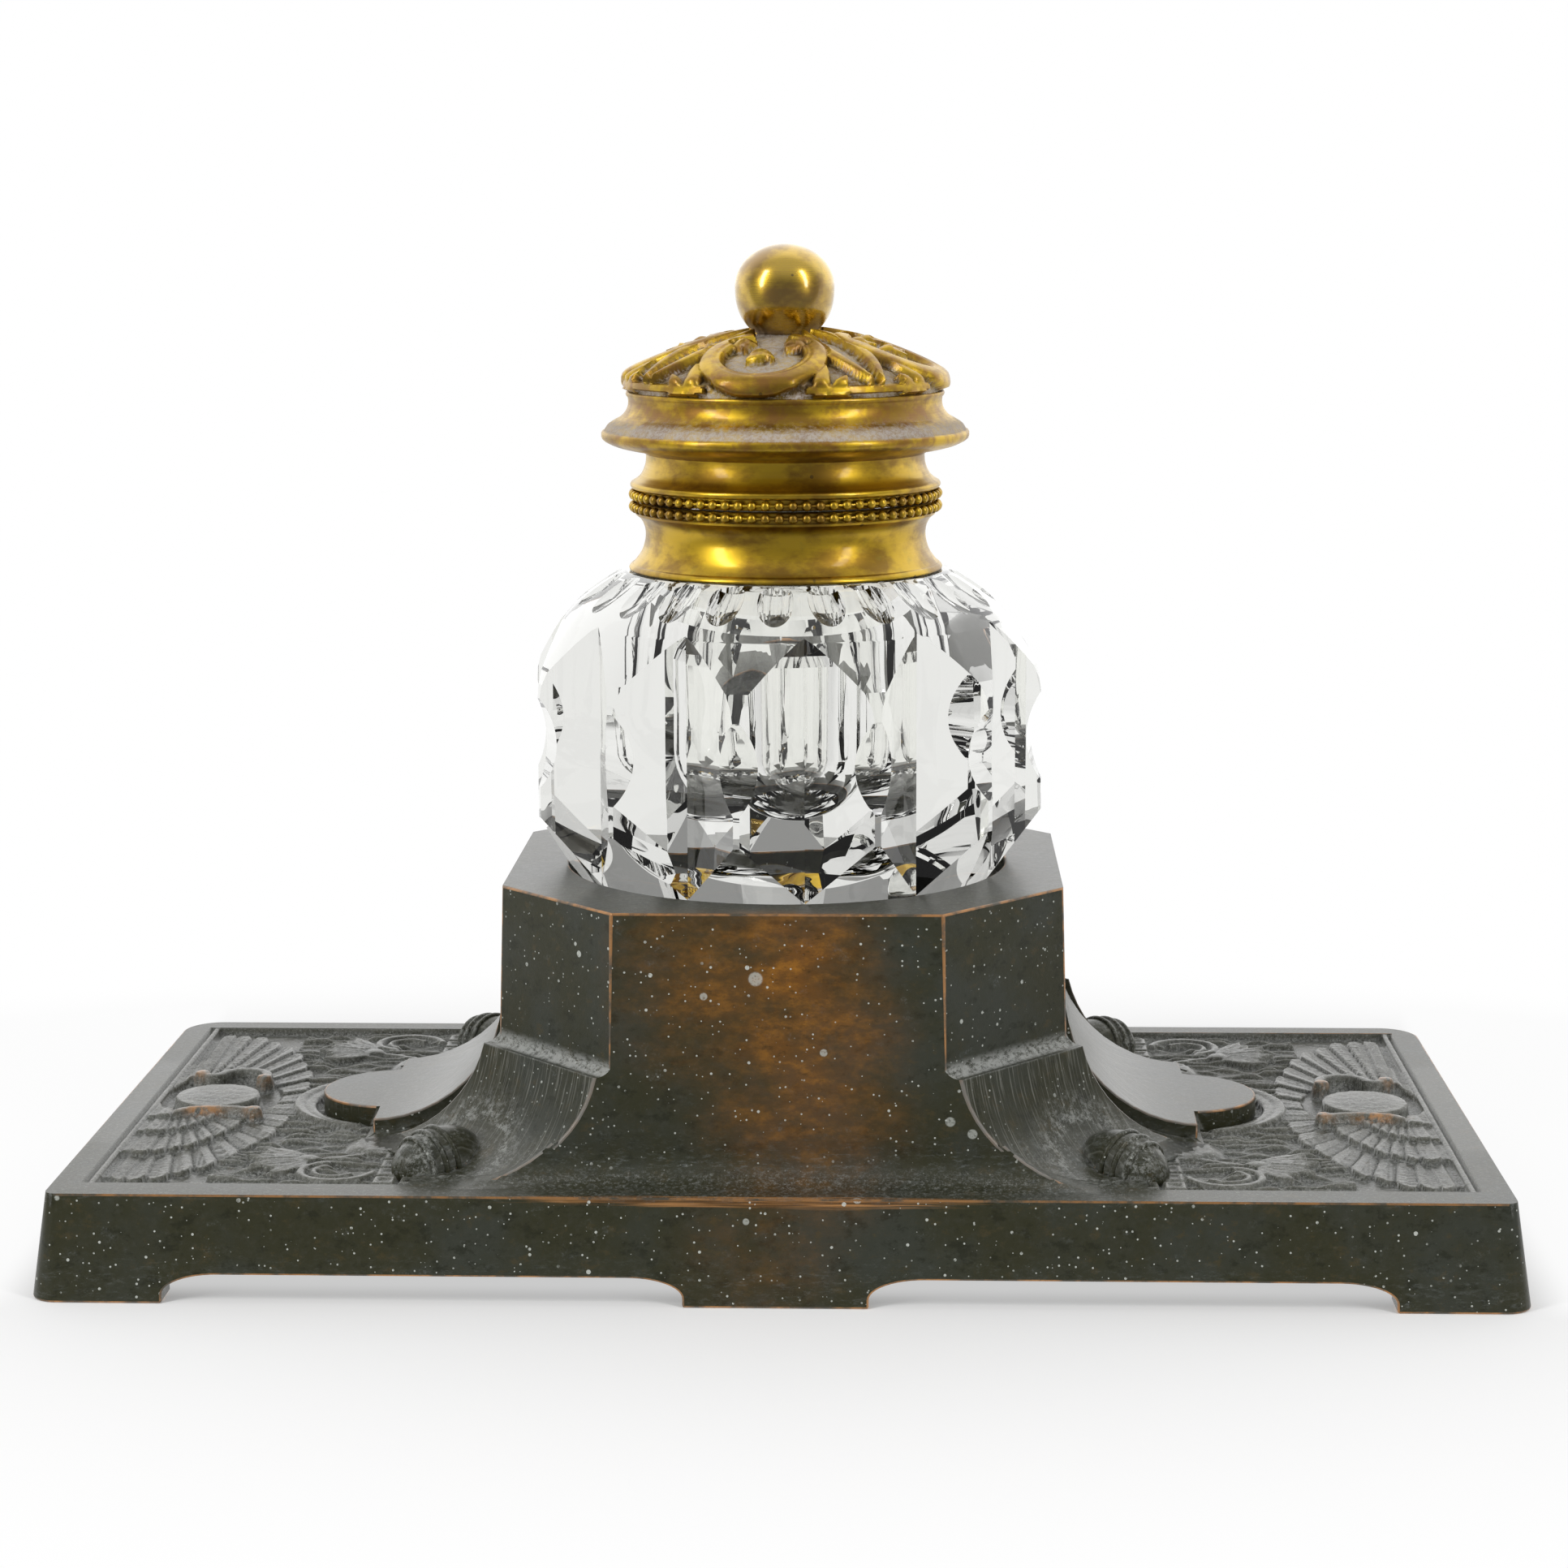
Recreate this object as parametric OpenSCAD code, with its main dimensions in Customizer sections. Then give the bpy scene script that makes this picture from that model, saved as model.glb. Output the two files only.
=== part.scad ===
// Desk inkstand: a low bronze tray on feet with an octagonal block in the
// middle, a cut-crystal ink bottle standing in the block's socket, and a
// hinged brass lid with a ball finial. Sizes are in millimetres.
// The origin is on the desk under the middle of the tray. +X runs along
// the tray, +Y points to the back (the hinge side) and +Z points up.

/* [Tray] */
// Length of the tray's top face, left to right
tray_len = 210.8; // [190:0.2:240]
// Depth of the tray's top face, front to back
tray_depth = 100.6; // [92:0.2:120]
// Height of the tray's top face above the desk
tray_h = 15.6; // [13:0.1:22]
// How far each side of the skirt spreads out at the bottom
tray_splay = 2.4; // [0.4:0.1:4]
// Thickness of the skirt walls
skirt_wall = 3.6; // [2.5:0.1:5]
// Thickness of the plate that carries the relief
plate_t = 3.2; // [2:0.1:4]
// Corner radius at the front of the tray
front_corner_r = 1.6; // [0.5:0.1:6]
// Corner radius at the back of the tray
back_corner_r = 6; // [1:0.1:9]
// Width of the flat border at the ends and the back of each relief panel
border_w = 4.2; // [3:0.1:6]
// Width of the flat border in front of each relief panel
front_border_w = 5.6; // [4:0.1:8]
// Depth of each relief panel below the border
panel_sink = 1.2; // [0.6:0.1:2]

/* [Feet] */
// Length of each corner foot along the skirt
corner_foot = 19.5; // [12:0.5:26]
// Length of the middle foot of the long skirts
middle_foot = 26.7; // [16:0.1:40]
// Height of the arches between the feet
arch_h = 4.1; // [2:0.1:6]
// Length of the curved end of each arch
arch_end = 8; // [3:0.5:12]

/* [Block] */
// Half the width of the block's front face at the top
block_front_half = 23.9; // [20:0.1:28]
// Half the width of the block over its two end faces at the top
block_end_half = 41.9; // [39:0.1:46]
// Half the depth of the block over its front and back faces at the top
block_depth_half = 40.7; // [38:0.1:44]
// Half the width of each end face of the block at the top
block_end_face_half = 21.4; // [19.5:0.1:24]
// Height of the block's top face above the desk
block_h = 55; // [48:0.5:64]
// Outward lean of the block's faces, in millimetres for each millimetre down
block_lean = 0.03; // [0:0.005:0.06]
// Wall of the hollow block
block_wall = 4.2; // [3:0.1:5.5]
// Radius of the cove at the foot of the block's front and back faces
front_cove_r = 5.2; // [2:0.1:7]

/* [Flare] */
// Height above the desk where the flares start
flare_top = 30.8; // [26:0.2:36]
// Width of the small cove at the top of each flare
ledge_w = 2.6; // [1.5:0.1:4]
// Radius of the sweep from the chamfers down to the tray
flare_r = 19.8; // [16:0.1:21]

/* [Tongue] */
// Radius of the tongue's sweep down each end of the block
tongue_r = 21.1; // [18:0.1:22]
// Thickness of the tongue above its channel
tongue_t = 2.2; // [1:0.1:3]
// Half the width of the tongue's broad part
tongue_half = 18.2; // [14:0.2:19]
// Half the width of the tongue's tip
tip_half = 11; // [8:0.2:13]
// Length of the tongue's tip past its shoulders
tip_len = 10.5; // [8:0.5:11]

/* [Ornament] */
// Distance of each winged disc from the middle of the tray
disc_x = 90.4; // [87:0.2:91]
// Length of the disc along the tray
disc_len = 13.5; // [10:0.5:15]
// Width of the disc across the tray
disc_w = 11.5; // [8:0.5:12]
// Height of the disc above the panel
disc_h = 2.4; // [1:0.1:3]
// Thickness of the wings above the panel
wing_t = 0.7; // [0.4:0.1:1]
// Number of feathers in each wing
feathers = 13; // [8:1:18]
// Distance of each corner boss from the middle of the tray, along X
boss_x = 50.8; // [48:0.2:54]
// Distance of each corner boss from the middle of the tray, along Y
boss_y = 34; // [31:0.2:36]
// Length of each corner boss
boss_len = 15; // [10:0.5:16]
// Width of each corner boss
boss_w = 9.6; // [6:0.2:11]

/* [Bottle] */
// Depth of the socket that the bottle stands in
socket_depth = 3.6; // [2:0.1:3.8]
// Gap between the bottle and the rim of its socket
socket_gap = 0.4; // [0.3:0.05:0.8]
// Radius of the bottle's flat foot
foot_r = 31; // [27:0.1:32]
// Radius of the bottle over its vertical ridges
ridge_r = 39.5; // [38.5:0.1:41]
// Radius of the bottle at the creases between the ridges
crease_r = 34.3; // [33:0.1:36]
// Number of ridges round the bottle
ridges = 12; // [10:1:14]
// Angle by which the ridges are turned from the front
ridge_turn = 21.5; // [0:0.5:30]
// Height of the cut bevel under the barrel
bevel_h = 12.7; // [9:0.1:14]
// Height from the foot to the top of the barrel
barrel_top = 30.6; // [27:0.1:36]
// Height from the foot to the seat of the collar
seat_h = 48.9; // [45:0.1:54]
// Outward bulge of the shoulder between the barrel and the seat
shoulder_bulge = 3.1; // [0.5:0.1:4]
// Depth of the notch cut across each ridge
notch_d = 2; // [1:0.1:2.6]
// Height of each notch
notch_h = 13.6; // [8:0.1:16]
// Radius of the ink well inside the bottle
well_r = 17; // [12:0.5:22]
// Thickness of the glass under the ink well
well_floor = 12.5; // [8:0.5:18]
// Radius of the mouth
mouth_r = 13.2; // [9:0.2:15]
// How far the glass neck stands in from the collar's lower edge
neck_in = 4.5; // [4.4:0.1:5.5]

/* [Collar] */
// Radius of the collar's lower edge
collar_base_r = 23.9; // [23:0.1:25]
// How far the collar's waist stands in from its lower edge
collar_waist_in = 2.55; // [2.2:0.05:3]
// How far the collar's rim at the bead ring stands in from its lower edge
collar_rim_in = 1.05; // [0.8:0.05:1.6]
// Height of the collar
collar_h = 10.5; // [9:0.1:13]
// Thickness of the plaster between the neck and the collar
plaster_t = 0.9; // [0.5:0.1:1]
// Gap between the collar and the closed lid
seam_gap = 0.3; // [0.2:0.05:0.6]
// Radius of one bead
bead_r = 0.78; // [0.5:0.02:0.9]
// Number of beads in a full ring
beads = 72; // [48:1:76]

/* [Lid] */
// Height of the lid's band up to the cover
band_h = 6.9; // [6:0.1:9]
// How far the moulding over the lid's bead ring stands in from the collar's lower edge
band_swell_in = 0.3; // [0:0.05:0.7]
// How far the band's waist stands in from the collar's lower edge
band_waist_in = 2.7; // [2.2:0.05:3.1]
// Wall of the lid's band and cover
lid_wall = 1.4; // [1:0.1:1.8]
// How far the brim stands out from the collar's lower edge
brim_out = 4.05; // [3:0.05:5]
// Thickness of the brim's edge
brim_t = 1.6; // [1:0.1:2.4]
// How far the upright band above the brim stands in from the collar's lower edge
drum_in = 0.1; // [0:0.05:0.8]
// Height of the cover from the band to the top of the dome's upright edge
drum_top = 11.2; // [10:0.1:13]
// Height of the upright edge between the dome and the lip under it
dome_edge = 1.8; // [1:0.1:2.4]
// Rise of the dome above its upright edge
dome_rise = 6.6; // [4:0.1:9]
// Height of the cast ornament above the dome
relief_h = 0.9; // [0.4:0.1:1.2]
// Radius of the ball finial at its widest
ball_r = 7.53; // [6:0.01:8.5]
// Height of the ball above its widest line
ball_rise = 6.3; // [5:0.1:8]
// Depth of the ball below its widest line, before its seat is cut
ball_drop = 8; // [6:0.1:9]
// Radius of the finial's stud
stud_r = 1.2; // [0.9:0.1:1.5]

/* [Hinge] */
// Outer radius of the hinge knuckles
knuckle_r = 1.8; // [1.5:0.1:2]
// Radius of the hinge pin
pin_r = 0.8; // [0.6:0.05:1]
// Running clearance round the pin
pin_gap = 0.05; // [0.02:0.01:0.08]
// Width of the whole hinge
hinge_w = 16; // [12:0.5:20]
// Width of the lid's knuckle
lid_knuckle_w = 6; // [4:0.5:8]
// Side gap between neighbouring knuckles
knuckle_gap = 0.3; // [0.2:0.05:0.5]

/* [Hidden] */
$fn = 96;

BRONZE = "#4a4a3f";
BRASS = "#a8843a";
GLASS = [0.86, 0.9, 0.92, 0.5];
PLASTER = "#d8d2c4";
over = 1;             // how far a cutter reaches past what it cuts
tuck = 0.2;           // how far a cove runs in under the face above it
far = 300;            // longer than any side of the inkstand
arc_steps = 12;       // chords in each drawn arc
fit_gap = 0.05;       // gap of a fixed fit
shoulder_set = 0.7;   // how far the tongue's shoulders stand in from its foot
flare_room = 7;       // from a flare's foot to the inner end of its panel
notch_lift = 2.5;     // how far the notches sit above the barrel's middle
seat_lip = 0.4;       // glass shown outside the collar's lower edge
neck_drop = 1.2;      // how far the glass neck ends under the collar's top
plaster_drop = 1.6;   // how far the plaster ends under the collar's top
ball_sink = 0.72;     // how much is cut off the ball for its seat
ball_power = 2.4;     // fullness of the ball's lower half, 2 for an ellipse
hinge_set = 0.3;      // room between the bead ring and the knuckles
leaf_t = 1;           // thickness of the strip that joins the collar's knuckles
wing_room = 1.6;      // free floor between the wings' tips and the panel's edge
boss_lift = 0.6;      // height of a boss's middle above the tray's border
boss_tilt = 8;        // slope of each boss, down toward the tray's corner
rib_r = 0.45;         // radius of the ribs on a boss
nut_r = 2.9;          // corner radius of the finial's nut
nut_h = 2.2;          // height of the finial's nut
nut_room = 0.3;       // seat shown round the nut's corners
stud_end = 0.8;       // stud shown under its nut
horseshoe_r = 7;      // radius of the rings on the dome
horseshoe_share = 0.69; // their distance from the axis, in parts of the drum's radius
leaf_half = 7;        // half the length of the leaves on the dome
leaf_share = 0.588;   // their distance from the axis, in parts of the drum's radius
dome_tilt = 24;       // slope of the ornament on the dome

// Outer half sizes of the tray at its top face
half_len = tray_len/2;
half_depth = tray_depth/2;
panel_z = tray_h - panel_sink;
ceiling_z = panel_z - plate_t;

// Line of the block's chamfer, in plan, at the top
chamfer_dx = block_end_half - block_front_half;
chamfer_dy = block_depth_half - block_end_face_half;
chamfer_angle = atan2(chamfer_dx, chamfer_dy);
chamfer_half = block_front_half*cos(chamfer_angle) + block_depth_half*sin(chamfer_angle);
flare_drop = (block_h - flare_top)*block_lean;

// Sweep of the flare: u is the distance out from the block's face
flare_start = asin((tray_h + flare_r - flare_top)/flare_r);
flare_mid_u = ledge_w + flare_r*cos(flare_start);

// Sweep of the tongue: it starts flush with the block's end face
tongue_mid_z = tray_h + tongue_t + tongue_r;
tongue_foot = block_end_half + (block_h - tongue_mid_z)*block_lean + tongue_r;
shoulder_x = tongue_foot - shoulder_set;
panel_in = block_front_half + flare_drop + flare_mid_u + flare_room;

// Radii that follow the collar's lower edge
neck_r = collar_base_r - neck_in;
collar_waist_r = collar_base_r - collar_waist_in;
collar_rim_r = collar_base_r - collar_rim_in;
band_swell_r = collar_base_r - band_swell_in;
band_waist_r = collar_base_r - band_waist_in;
brim_r = collar_base_r + brim_out;
drum_r = collar_base_r - drum_in;
horseshoe_at = drum_r*horseshoe_share;
leaf_at = drum_r*leaf_share;

// Bottle heights above the desk
socket_z = block_h - socket_depth;
socket_r = foot_r + (ridge_r - foot_r)*socket_depth/bevel_h + socket_gap;
seat_z = socket_z + seat_h;
barrel_top_z = socket_z + barrel_top;
bevel_top_z = socket_z + bevel_h;
notch_z = (barrel_top_z + bevel_top_z)/2 + notch_lift;
notch_cut_r = (pow(notch_h/2, 2) + pow(notch_d, 2))/(2*notch_d);
star_r = ridge_r + seat_lip;
seat_r = collar_base_r + seat_lip;

// Collar, seam and lid heights above the desk
collar_top = seat_z + collar_h;
collar_bore = neck_r + plaster_t + 2*fit_gap;
bead_ring_r = collar_rim_r + 0.3;
collar_bead_z = collar_top - bead_r;
lid_z = collar_top + seam_gap;
lid_bead_z = lid_z + bead_r;
cover_z = lid_z + band_h;
lid_bore = band_waist_r - lid_wall;
dome_z = cover_z + drum_top;
dome_top = dome_z + dome_rise;
dome_r = (pow(drum_r, 2) + pow(dome_rise, 2))/(2*dome_rise);
ball_z = dome_top + ball_drop - ball_sink;

// Hinge axis behind the collar, level with the seam
hinge_y = bead_ring_r + bead_r + knuckle_r + hinge_set;
hinge_z = (collar_top + lid_z)/2;

// Rebate that the bead rings and the hinge leaves sit in
rebate_r = bead_ring_r - bead_r - fit_gap;
rebate_h = 2*bead_r + fit_gap;
leaf_r = rebate_r + fit_gap;

// Points of an arc round (cx, cy)
function arc(cx, cy, r, a0, a1, n = arc_steps) =
    [for (i = [0:n]) let (a = a0 + (a1 - a0)*i/n) [cx + r*cos(a), cy + r*sin(a)]];

// Points of an arc from p to q that bulges to the right of the way there
function bulge(p, q, rise, n = arc_steps) =
    let (half = norm(q - p)/2, r = (half*half + rise*rise)/(2*rise),
         mid = (p + q)/2, side = [q[1] - p[1], p[0] - q[0]]/(2*half),
         c = mid - side*(r - rise),
         a0 = atan2(p[1] - c[1], p[0] - c[0]), sweep = 2*asin(half/r))
    arc(c[0], c[1], r, a0, a0 + sweep, n);

// ---------------------------------------------------------------- tray

// A slab that is wider at the bottom, square to the plan direction angle
module leaning_slab(angle, half_top, lean, z_top) {
    half_bottom = half_top + lean*z_top;
    rotate([0, 0, angle]) rotate([90, 0, 0])
        linear_extrude(height = far, center = true)
            polygon([[-half_bottom, 0], [half_bottom, 0], [half_top, z_top], [-half_top, z_top]]);
}

// What is cut off one corner of the tray to round it to radius r
module corner_cutter(r) {
    difference() {
        translate([0, 0, -over]) cube([far, far, tray_h + 2*over]);
        cylinder(h = tray_h, r1 = r + tray_splay, r2 = r);
        translate([0, 0, -2*over]) cylinder(h = 2*over, r = r + tray_splay);
        translate([0, 0, tray_h]) cylinder(h = 2*over, r = r);
    }
}

module tray_block() {
    lean = tray_splay/tray_h;
    difference() {
        intersection() {
            leaning_slab(0, half_len, lean, tray_h);
            leaning_slab(90, half_depth, lean, tray_h);
        }
        for (side = [0, 1]) mirror([side, 0, 0]) {
            translate([half_len - back_corner_r, half_depth - back_corner_r, 0])
                corner_cutter(back_corner_r);
            translate([half_len - front_corner_r, front_corner_r - half_depth, 0])
                mirror([0, 1, 0]) corner_cutter(front_corner_r);
        }
    }
}

// Side view of one arch between two feet, from x0 to x1
module arch_outline(x0, x1) {
    lip = arch_h*0.3;
    polygon(concat(
        [[x0, -over], [x0, lip]],
        [for (i = [1:arc_steps]) let (a = 90*i/arc_steps)
            [x0 + arch_end*(1 - cos(a)), lip + (arch_h - lip)*sin(a)]],
        [for (i = [0:arc_steps - 1]) let (a = 90 - 90*i/arc_steps)
            [x1 - arch_end*(1 - cos(a)), lip + (arch_h - lip)*sin(a)]],
        [[x1, lip], [x1, -over]]));
}

module foot_arches() {
    long_end = half_len + tray_splay - corner_foot;
    short_end = half_depth + tray_splay - corner_foot;
    for (side = [0, 1]) mirror([side, 0, 0])
        rotate([90, 0, 0]) linear_extrude(height = far, center = true)
            arch_outline(middle_foot/2, long_end);
    rotate([90, 0, 90]) linear_extrude(height = far, center = true)
        arch_outline(-short_end, short_end);
}

// Hollow under the tray and up inside the block
module underside_hollow() {
    in_len = half_len - skirt_wall;
    in_depth = half_depth - skirt_wall;
    translate([-in_len, -in_depth, -over]) cube([2*in_len, 2*in_depth, ceiling_z + over]);
    intersection() {
        leaning_slab(0, block_end_half - block_wall, 0, socket_z - block_wall);
        leaning_slab(90, block_depth_half - block_wall, 0, socket_z - block_wall);
        leaning_slab(chamfer_angle, chamfer_half - block_wall, 0, socket_z - block_wall);
        leaning_slab(-chamfer_angle, chamfer_half - block_wall, 0, socket_z - block_wall);
    }
}

// --------------------------------------------------------------- block

// Section of a chamfer's flare: squeeze is how much the slant narrows it
module flare_section(squeeze) {
    cove_r = ledge_w + tuck;
    section = concat(
        [[-2*ledge_w, ceiling_z], [flare_mid_u, ceiling_z]],
        arc(flare_mid_u, tray_h + flare_r, flare_r, 270, 180 + flare_start),
        arc(ledge_w, flare_top + cove_r, cove_r, 270, 180),
        [[-2*ledge_w, flare_top + cove_r]]);
    polygon([for (p = section) [p[0]*squeeze, p[1]]]);
}

// Solid under a sweep of radius r that ends at the tongue's foot
module end_sweep(r, half_width) {
    start = asin((tongue_mid_z - flare_top - 2)/(tongue_r + tongue_t));
    rotate([90, 0, 0]) linear_extrude(height = 2*half_width, center = true)
        polygon(concat(
            [[block_front_half, ceiling_z], [tongue_foot, ceiling_z]],
            arc(tongue_foot, tongue_mid_z, r, 270, 180 + start),
            [[block_front_half, flare_top + 2]]));
}

module block_flares() {
    chamfer_line = chamfer_half + flare_drop*cos(chamfer_angle);
    for (side = [0, 1]) mirror([side, 0, 0]) {
        end_sweep(tongue_r + tongue_t, block_end_face_half);
        for (end = [0, 1]) mirror([0, end, 0]) intersection() {
            rotate([0, 0, chamfer_angle]) translate([chamfer_line, 0, 0]) rotate([90, 0, 0])
                linear_extrude(height = far, center = true) flare_section(cos(chamfer_angle));
            translate([0, block_end_face_half, 0]) cube([far, far, far]);
        }
    }
}

// Outline of the block's front face down to the tray, flares included
module front_face() {
    for (side = [0, 1]) mirror([side, 0])
        translate([block_front_half + flare_drop, 0]) flare_section(1);
    translate([-block_front_half, ceiling_z])
        square([2*block_front_half, flare_top - ceiling_z]);
}

// Cove that runs the front and back faces out onto the tray
module face_coves() {
    face_y = block_depth_half + block_lean*(block_h - tray_h);
    cove_r = front_cove_r + tuck;
    intersection() {
        rotate([90, 0, 0]) linear_extrude(height = far, center = true) front_face();
        for (side = [0, 1]) mirror([0, side, 0])
            rotate([90, 0, 90]) linear_extrude(height = far, center = true)
                polygon(concat(
                    [[0, ceiling_z], [face_y + front_cove_r, ceiling_z]],
                    arc(face_y + front_cove_r, tray_h + cove_r, cove_r, 270, 180),
                    [[0, tray_h + cove_r]]));
    }
}

module block_core() {
    intersection() {
        leaning_slab(0, block_end_half, block_lean, block_h);
        leaning_slab(90, block_depth_half, block_lean, block_h);
        leaning_slab(chamfer_angle, chamfer_half, block_lean, block_h);
        leaning_slab(-chamfer_angle, chamfer_half, block_lean, block_h);
        translate([-far/2, -far/2, ceiling_z]) cube([far, far, far]);
    }
}

// Plan of one tongue, from inside the block to its rounded tip
module tongue_plan() {
    translate([block_front_half, -tongue_half])
        square([shoulder_x - block_front_half, 2*tongue_half]);
    translate([block_front_half, -tip_half])
        square([shoulder_x + tip_len - tip_half - block_front_half, 2*tip_half]);
    translate([shoulder_x + tip_len - tip_half, 0]) circle(r = tip_half);
}

module tongue() {
    tip_x = shoulder_x + tip_len;
    start = asin((tongue_mid_z - flare_top - 2)/tongue_r);
    intersection() {
        linear_extrude(height = far) tongue_plan();
        rotate([90, 0, 0]) linear_extrude(height = far, center = true)
            polygon(concat(
                [[block_front_half, ceiling_z], [tip_x + over, ceiling_z],
                 [tip_x + over, tongue_mid_z - tongue_r]],
                arc(tongue_foot, tongue_mid_z, tongue_r, 270, 180),
                [[block_front_half, tongue_mid_z]]));
    }
}

// ------------------------------------------------------------ ornament

// Low dome with two pointed ends, between the wings
module disc() {
    side_r = (pow(disc_len/2, 2) + pow(disc_w/2, 2))/disc_w;
    cap_r = (pow(disc_len/2, 2) + pow(disc_h, 2))/(2*disc_h);
    intersection() {
        lens_prism(side_r);
        translate([0, 0, disc_h - cap_r]) sphere(r = cap_r);
    }
}

// Upright prism with two arcs of radius r for sides and two pointed ends
module lens_prism(r) {
    intersection() {
        translate([0, r - disc_w/2, -over]) cylinder(h = disc_h + 2*over, r = r);
        translate([0, disc_w/2 - r, -over]) cylinder(h = disc_h + 2*over, r = r);
    }
}

// Fan of feathers, from the disc to the panel's outer corner.
// reach is the fan's length toward the corner, in parts of the whole wing.
module wing(reach) {
    long_r = half_depth - front_border_w - wing_room;
    short_r = disc_x - shoulder_x - tip_len - wing_room;
    out_r = half_len - border_w - disc_x - wing_room/2;
    function fan_r(a) = let (side = a < 90 ? short_r : out_r)
        1/sqrt(pow(cos(a)/side, 2) + pow(sin(a)/long_r, 2));
    step = 180/feathers;
    polygon(concat(
        [for (i = [0:feathers - 1], a = [i*step + 0.5, (i + 1)*step - 2.5, (i + 1)*step])
            let (notch = a > (i + 1)*step - 1 ? 0.94 : 1, r = fan_r(a)*reach*notch)
            [-r*cos(a), r*sin(a)]],
        [[0, 0]]));
}

module winged_disc() {
    translate([disc_x, 0, panel_z - over]) {
        for (side = [0, 1]) mirror([0, side, 0]) {
            linear_extrude(height = over + wing_t) wing(1);
            linear_extrude(height = over + 2*wing_t) wing(0.62);
        }
        translate([0, 0, over]) disc();
    }
}

// Ribbed oval boss at the foot of a flare
module boss() {
    half = boss_len/2;
    squash = boss_w/boss_len;
    ribs = 3;
    rotate([0, 90, 0]) rotate([0, 0, 90]) {
        rotate_extrude() polygon(concat(
            [for (i = [0:arc_steps]) let (a = -90 + 180*i/arc_steps)
                [half*squash*cos(a), half*sin(a)]]));
        for (i = [1:ribs]) let (z = half*(0.8*i/ribs - 0.35), r = squash*sqrt(half*half - z*z))
            translate([0, 0, z]) rotate_extrude() translate([r, 0]) circle(r = rib_r, $fn = 24);
    }
}

module bosses() {
    for (i = [0, 1], j = [0, 1]) mirror([i, 0, 0]) mirror([0, j, 0])
        translate([boss_x, boss_y, tray_h + boss_lift])
            rotate([0, boss_tilt, chamfer_angle]) boss();
}

module base_casting() {
    color(BRONZE) difference() {
        union() {
            difference() {
                tray_block();
                for (side = [0, 1]) mirror([side, 0, 0])
                    translate([panel_in, front_border_w - half_depth, panel_z])
                        cube([half_len - border_w - panel_in,
                              tray_depth - front_border_w - border_w, far]);
            }
            intersection() {
                leaning_slab(90, block_depth_half, block_lean, block_h);
                union() {
                    block_core();
                    block_flares();
                }
            }
            face_coves();
            for (side = [0, 1]) mirror([side, 0, 0]) {
                tongue();
                winged_disc();
            }
            bosses();
        }
        foot_arches();
        underside_hollow();
        translate([0, 0, socket_z]) cylinder(h = far, r = socket_r);
    }
}

// -------------------------------------------------------------- bottle

// Star-shaped section that cuts the flat facets of the barrel
module star() {
    polygon([for (i = [0:2*ridges - 1]) let (a = 180*i/ridges, r = i % 2 == 0 ? star_r : crease_r)
        [r*cos(a), r*sin(a)]]);
}

module bottle_blank() {
    rotate_extrude() polygon(concat(
        [[0, socket_z], [foot_r, socket_z], [ridge_r, bevel_top_z], [ridge_r, barrel_top_z]],
        bulge([ridge_r, barrel_top_z], [seat_r, seat_z], shoulder_bulge),
        [[neck_r, seat_z], [neck_r, collar_top - neck_drop], [0, collar_top - neck_drop]]));
}

module ink_well() {
    floor_z = socket_z + well_floor;
    round_r = well_r*0.6;
    shoulder_z = seat_z - 7;
    rotate_extrude() polygon(concat(
        [[0, floor_z]],
        arc(well_r - round_r, floor_z + round_r, round_r, 270, 360),
        [[well_r, shoulder_z - (well_r - mouth_r)], [mouth_r, shoulder_z],
         [mouth_r, collar_top + over], [0, collar_top + over]]));
}

module ink_bottle() {
    color(GLASS) difference() {
        intersection() {
            bottle_blank();
            union() {
                rotate([0, 0, -90 + ridge_turn]) translate([0, 0, socket_z])
                    linear_extrude(height = far) star();
                cylinder(h = far, r = crease_r - over);
            }
        }
        ink_well();
        for (i = [0:ridges - 1]) rotate([0, 0, -90 + ridge_turn + 360*i/ridges])
            translate([ridge_r - notch_d + notch_cut_r, 0, notch_z]) rotate([90, 0, 0])
                cylinder(h = 14, r = notch_cut_r, center = true);
    }
}

module neck_plaster() {
    color(PLASTER) translate([0, 0, seat_z]) difference() {
        cylinder(h = collar_h - plaster_drop, r = neck_r + fit_gap + plaster_t);
        translate([0, 0, -over]) cylinder(h = collar_h + 2*over, r = neck_r + fit_gap);
    }
}

// -------------------------------------------------------------- collar

module collar() {
    z = seat_z;
    h = collar_h;
    color(BRASS) rotate_extrude() polygon([
        [collar_bore, z], [collar_base_r, z], [collar_base_r, z + 0.6],
        [collar_base_r - 0.6, z + 1.1],
        [collar_waist_r + 1.5, z + 1.9], [collar_waist_r + 0.8, z + 2.7],
        [collar_waist_r + 0.3, z + 3.5], [collar_waist_r, z + 5],
        [collar_waist_r, z + h - 4.5], [collar_waist_r + 0.35, z + h - 3.4],
        [collar_waist_r + 0.8, z + h - 2.6], [collar_rim_r, z + h - 1.9],
        [collar_rim_r, z + h - rebate_h], [rebate_r, z + h - rebate_h],
        [rebate_r, z + h], [collar_bore, z + h]]);
}

// Beaded wire round the collar's or the lid's edge, open for the hinge
module bead_ring(z) {
    wire_r = bead_r*0.6;
    gap = hinge_w/2 + bead_r;
    step = 360/beads;
    first = asin(gap/bead_ring_r) + step/2;
    translate([0, 0, z]) {
        difference() {
            rotate_extrude() translate([bead_ring_r, 0]) circle(r = wire_r, $fn = 24);
            translate([-gap, 0, -far/2]) cube([2*gap, far, far]);
        }
        for (a = [first:step:360 - first])
            rotate([0, 0, 90 + a]) translate([bead_ring_r, 0, 0]) sphere(r = bead_r, $fn = 24);
    }
}

module collar_bead_ring() {
    color(BRASS) bead_ring(collar_bead_z);
}

// --------------------------------------------------------------- hinge

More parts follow.
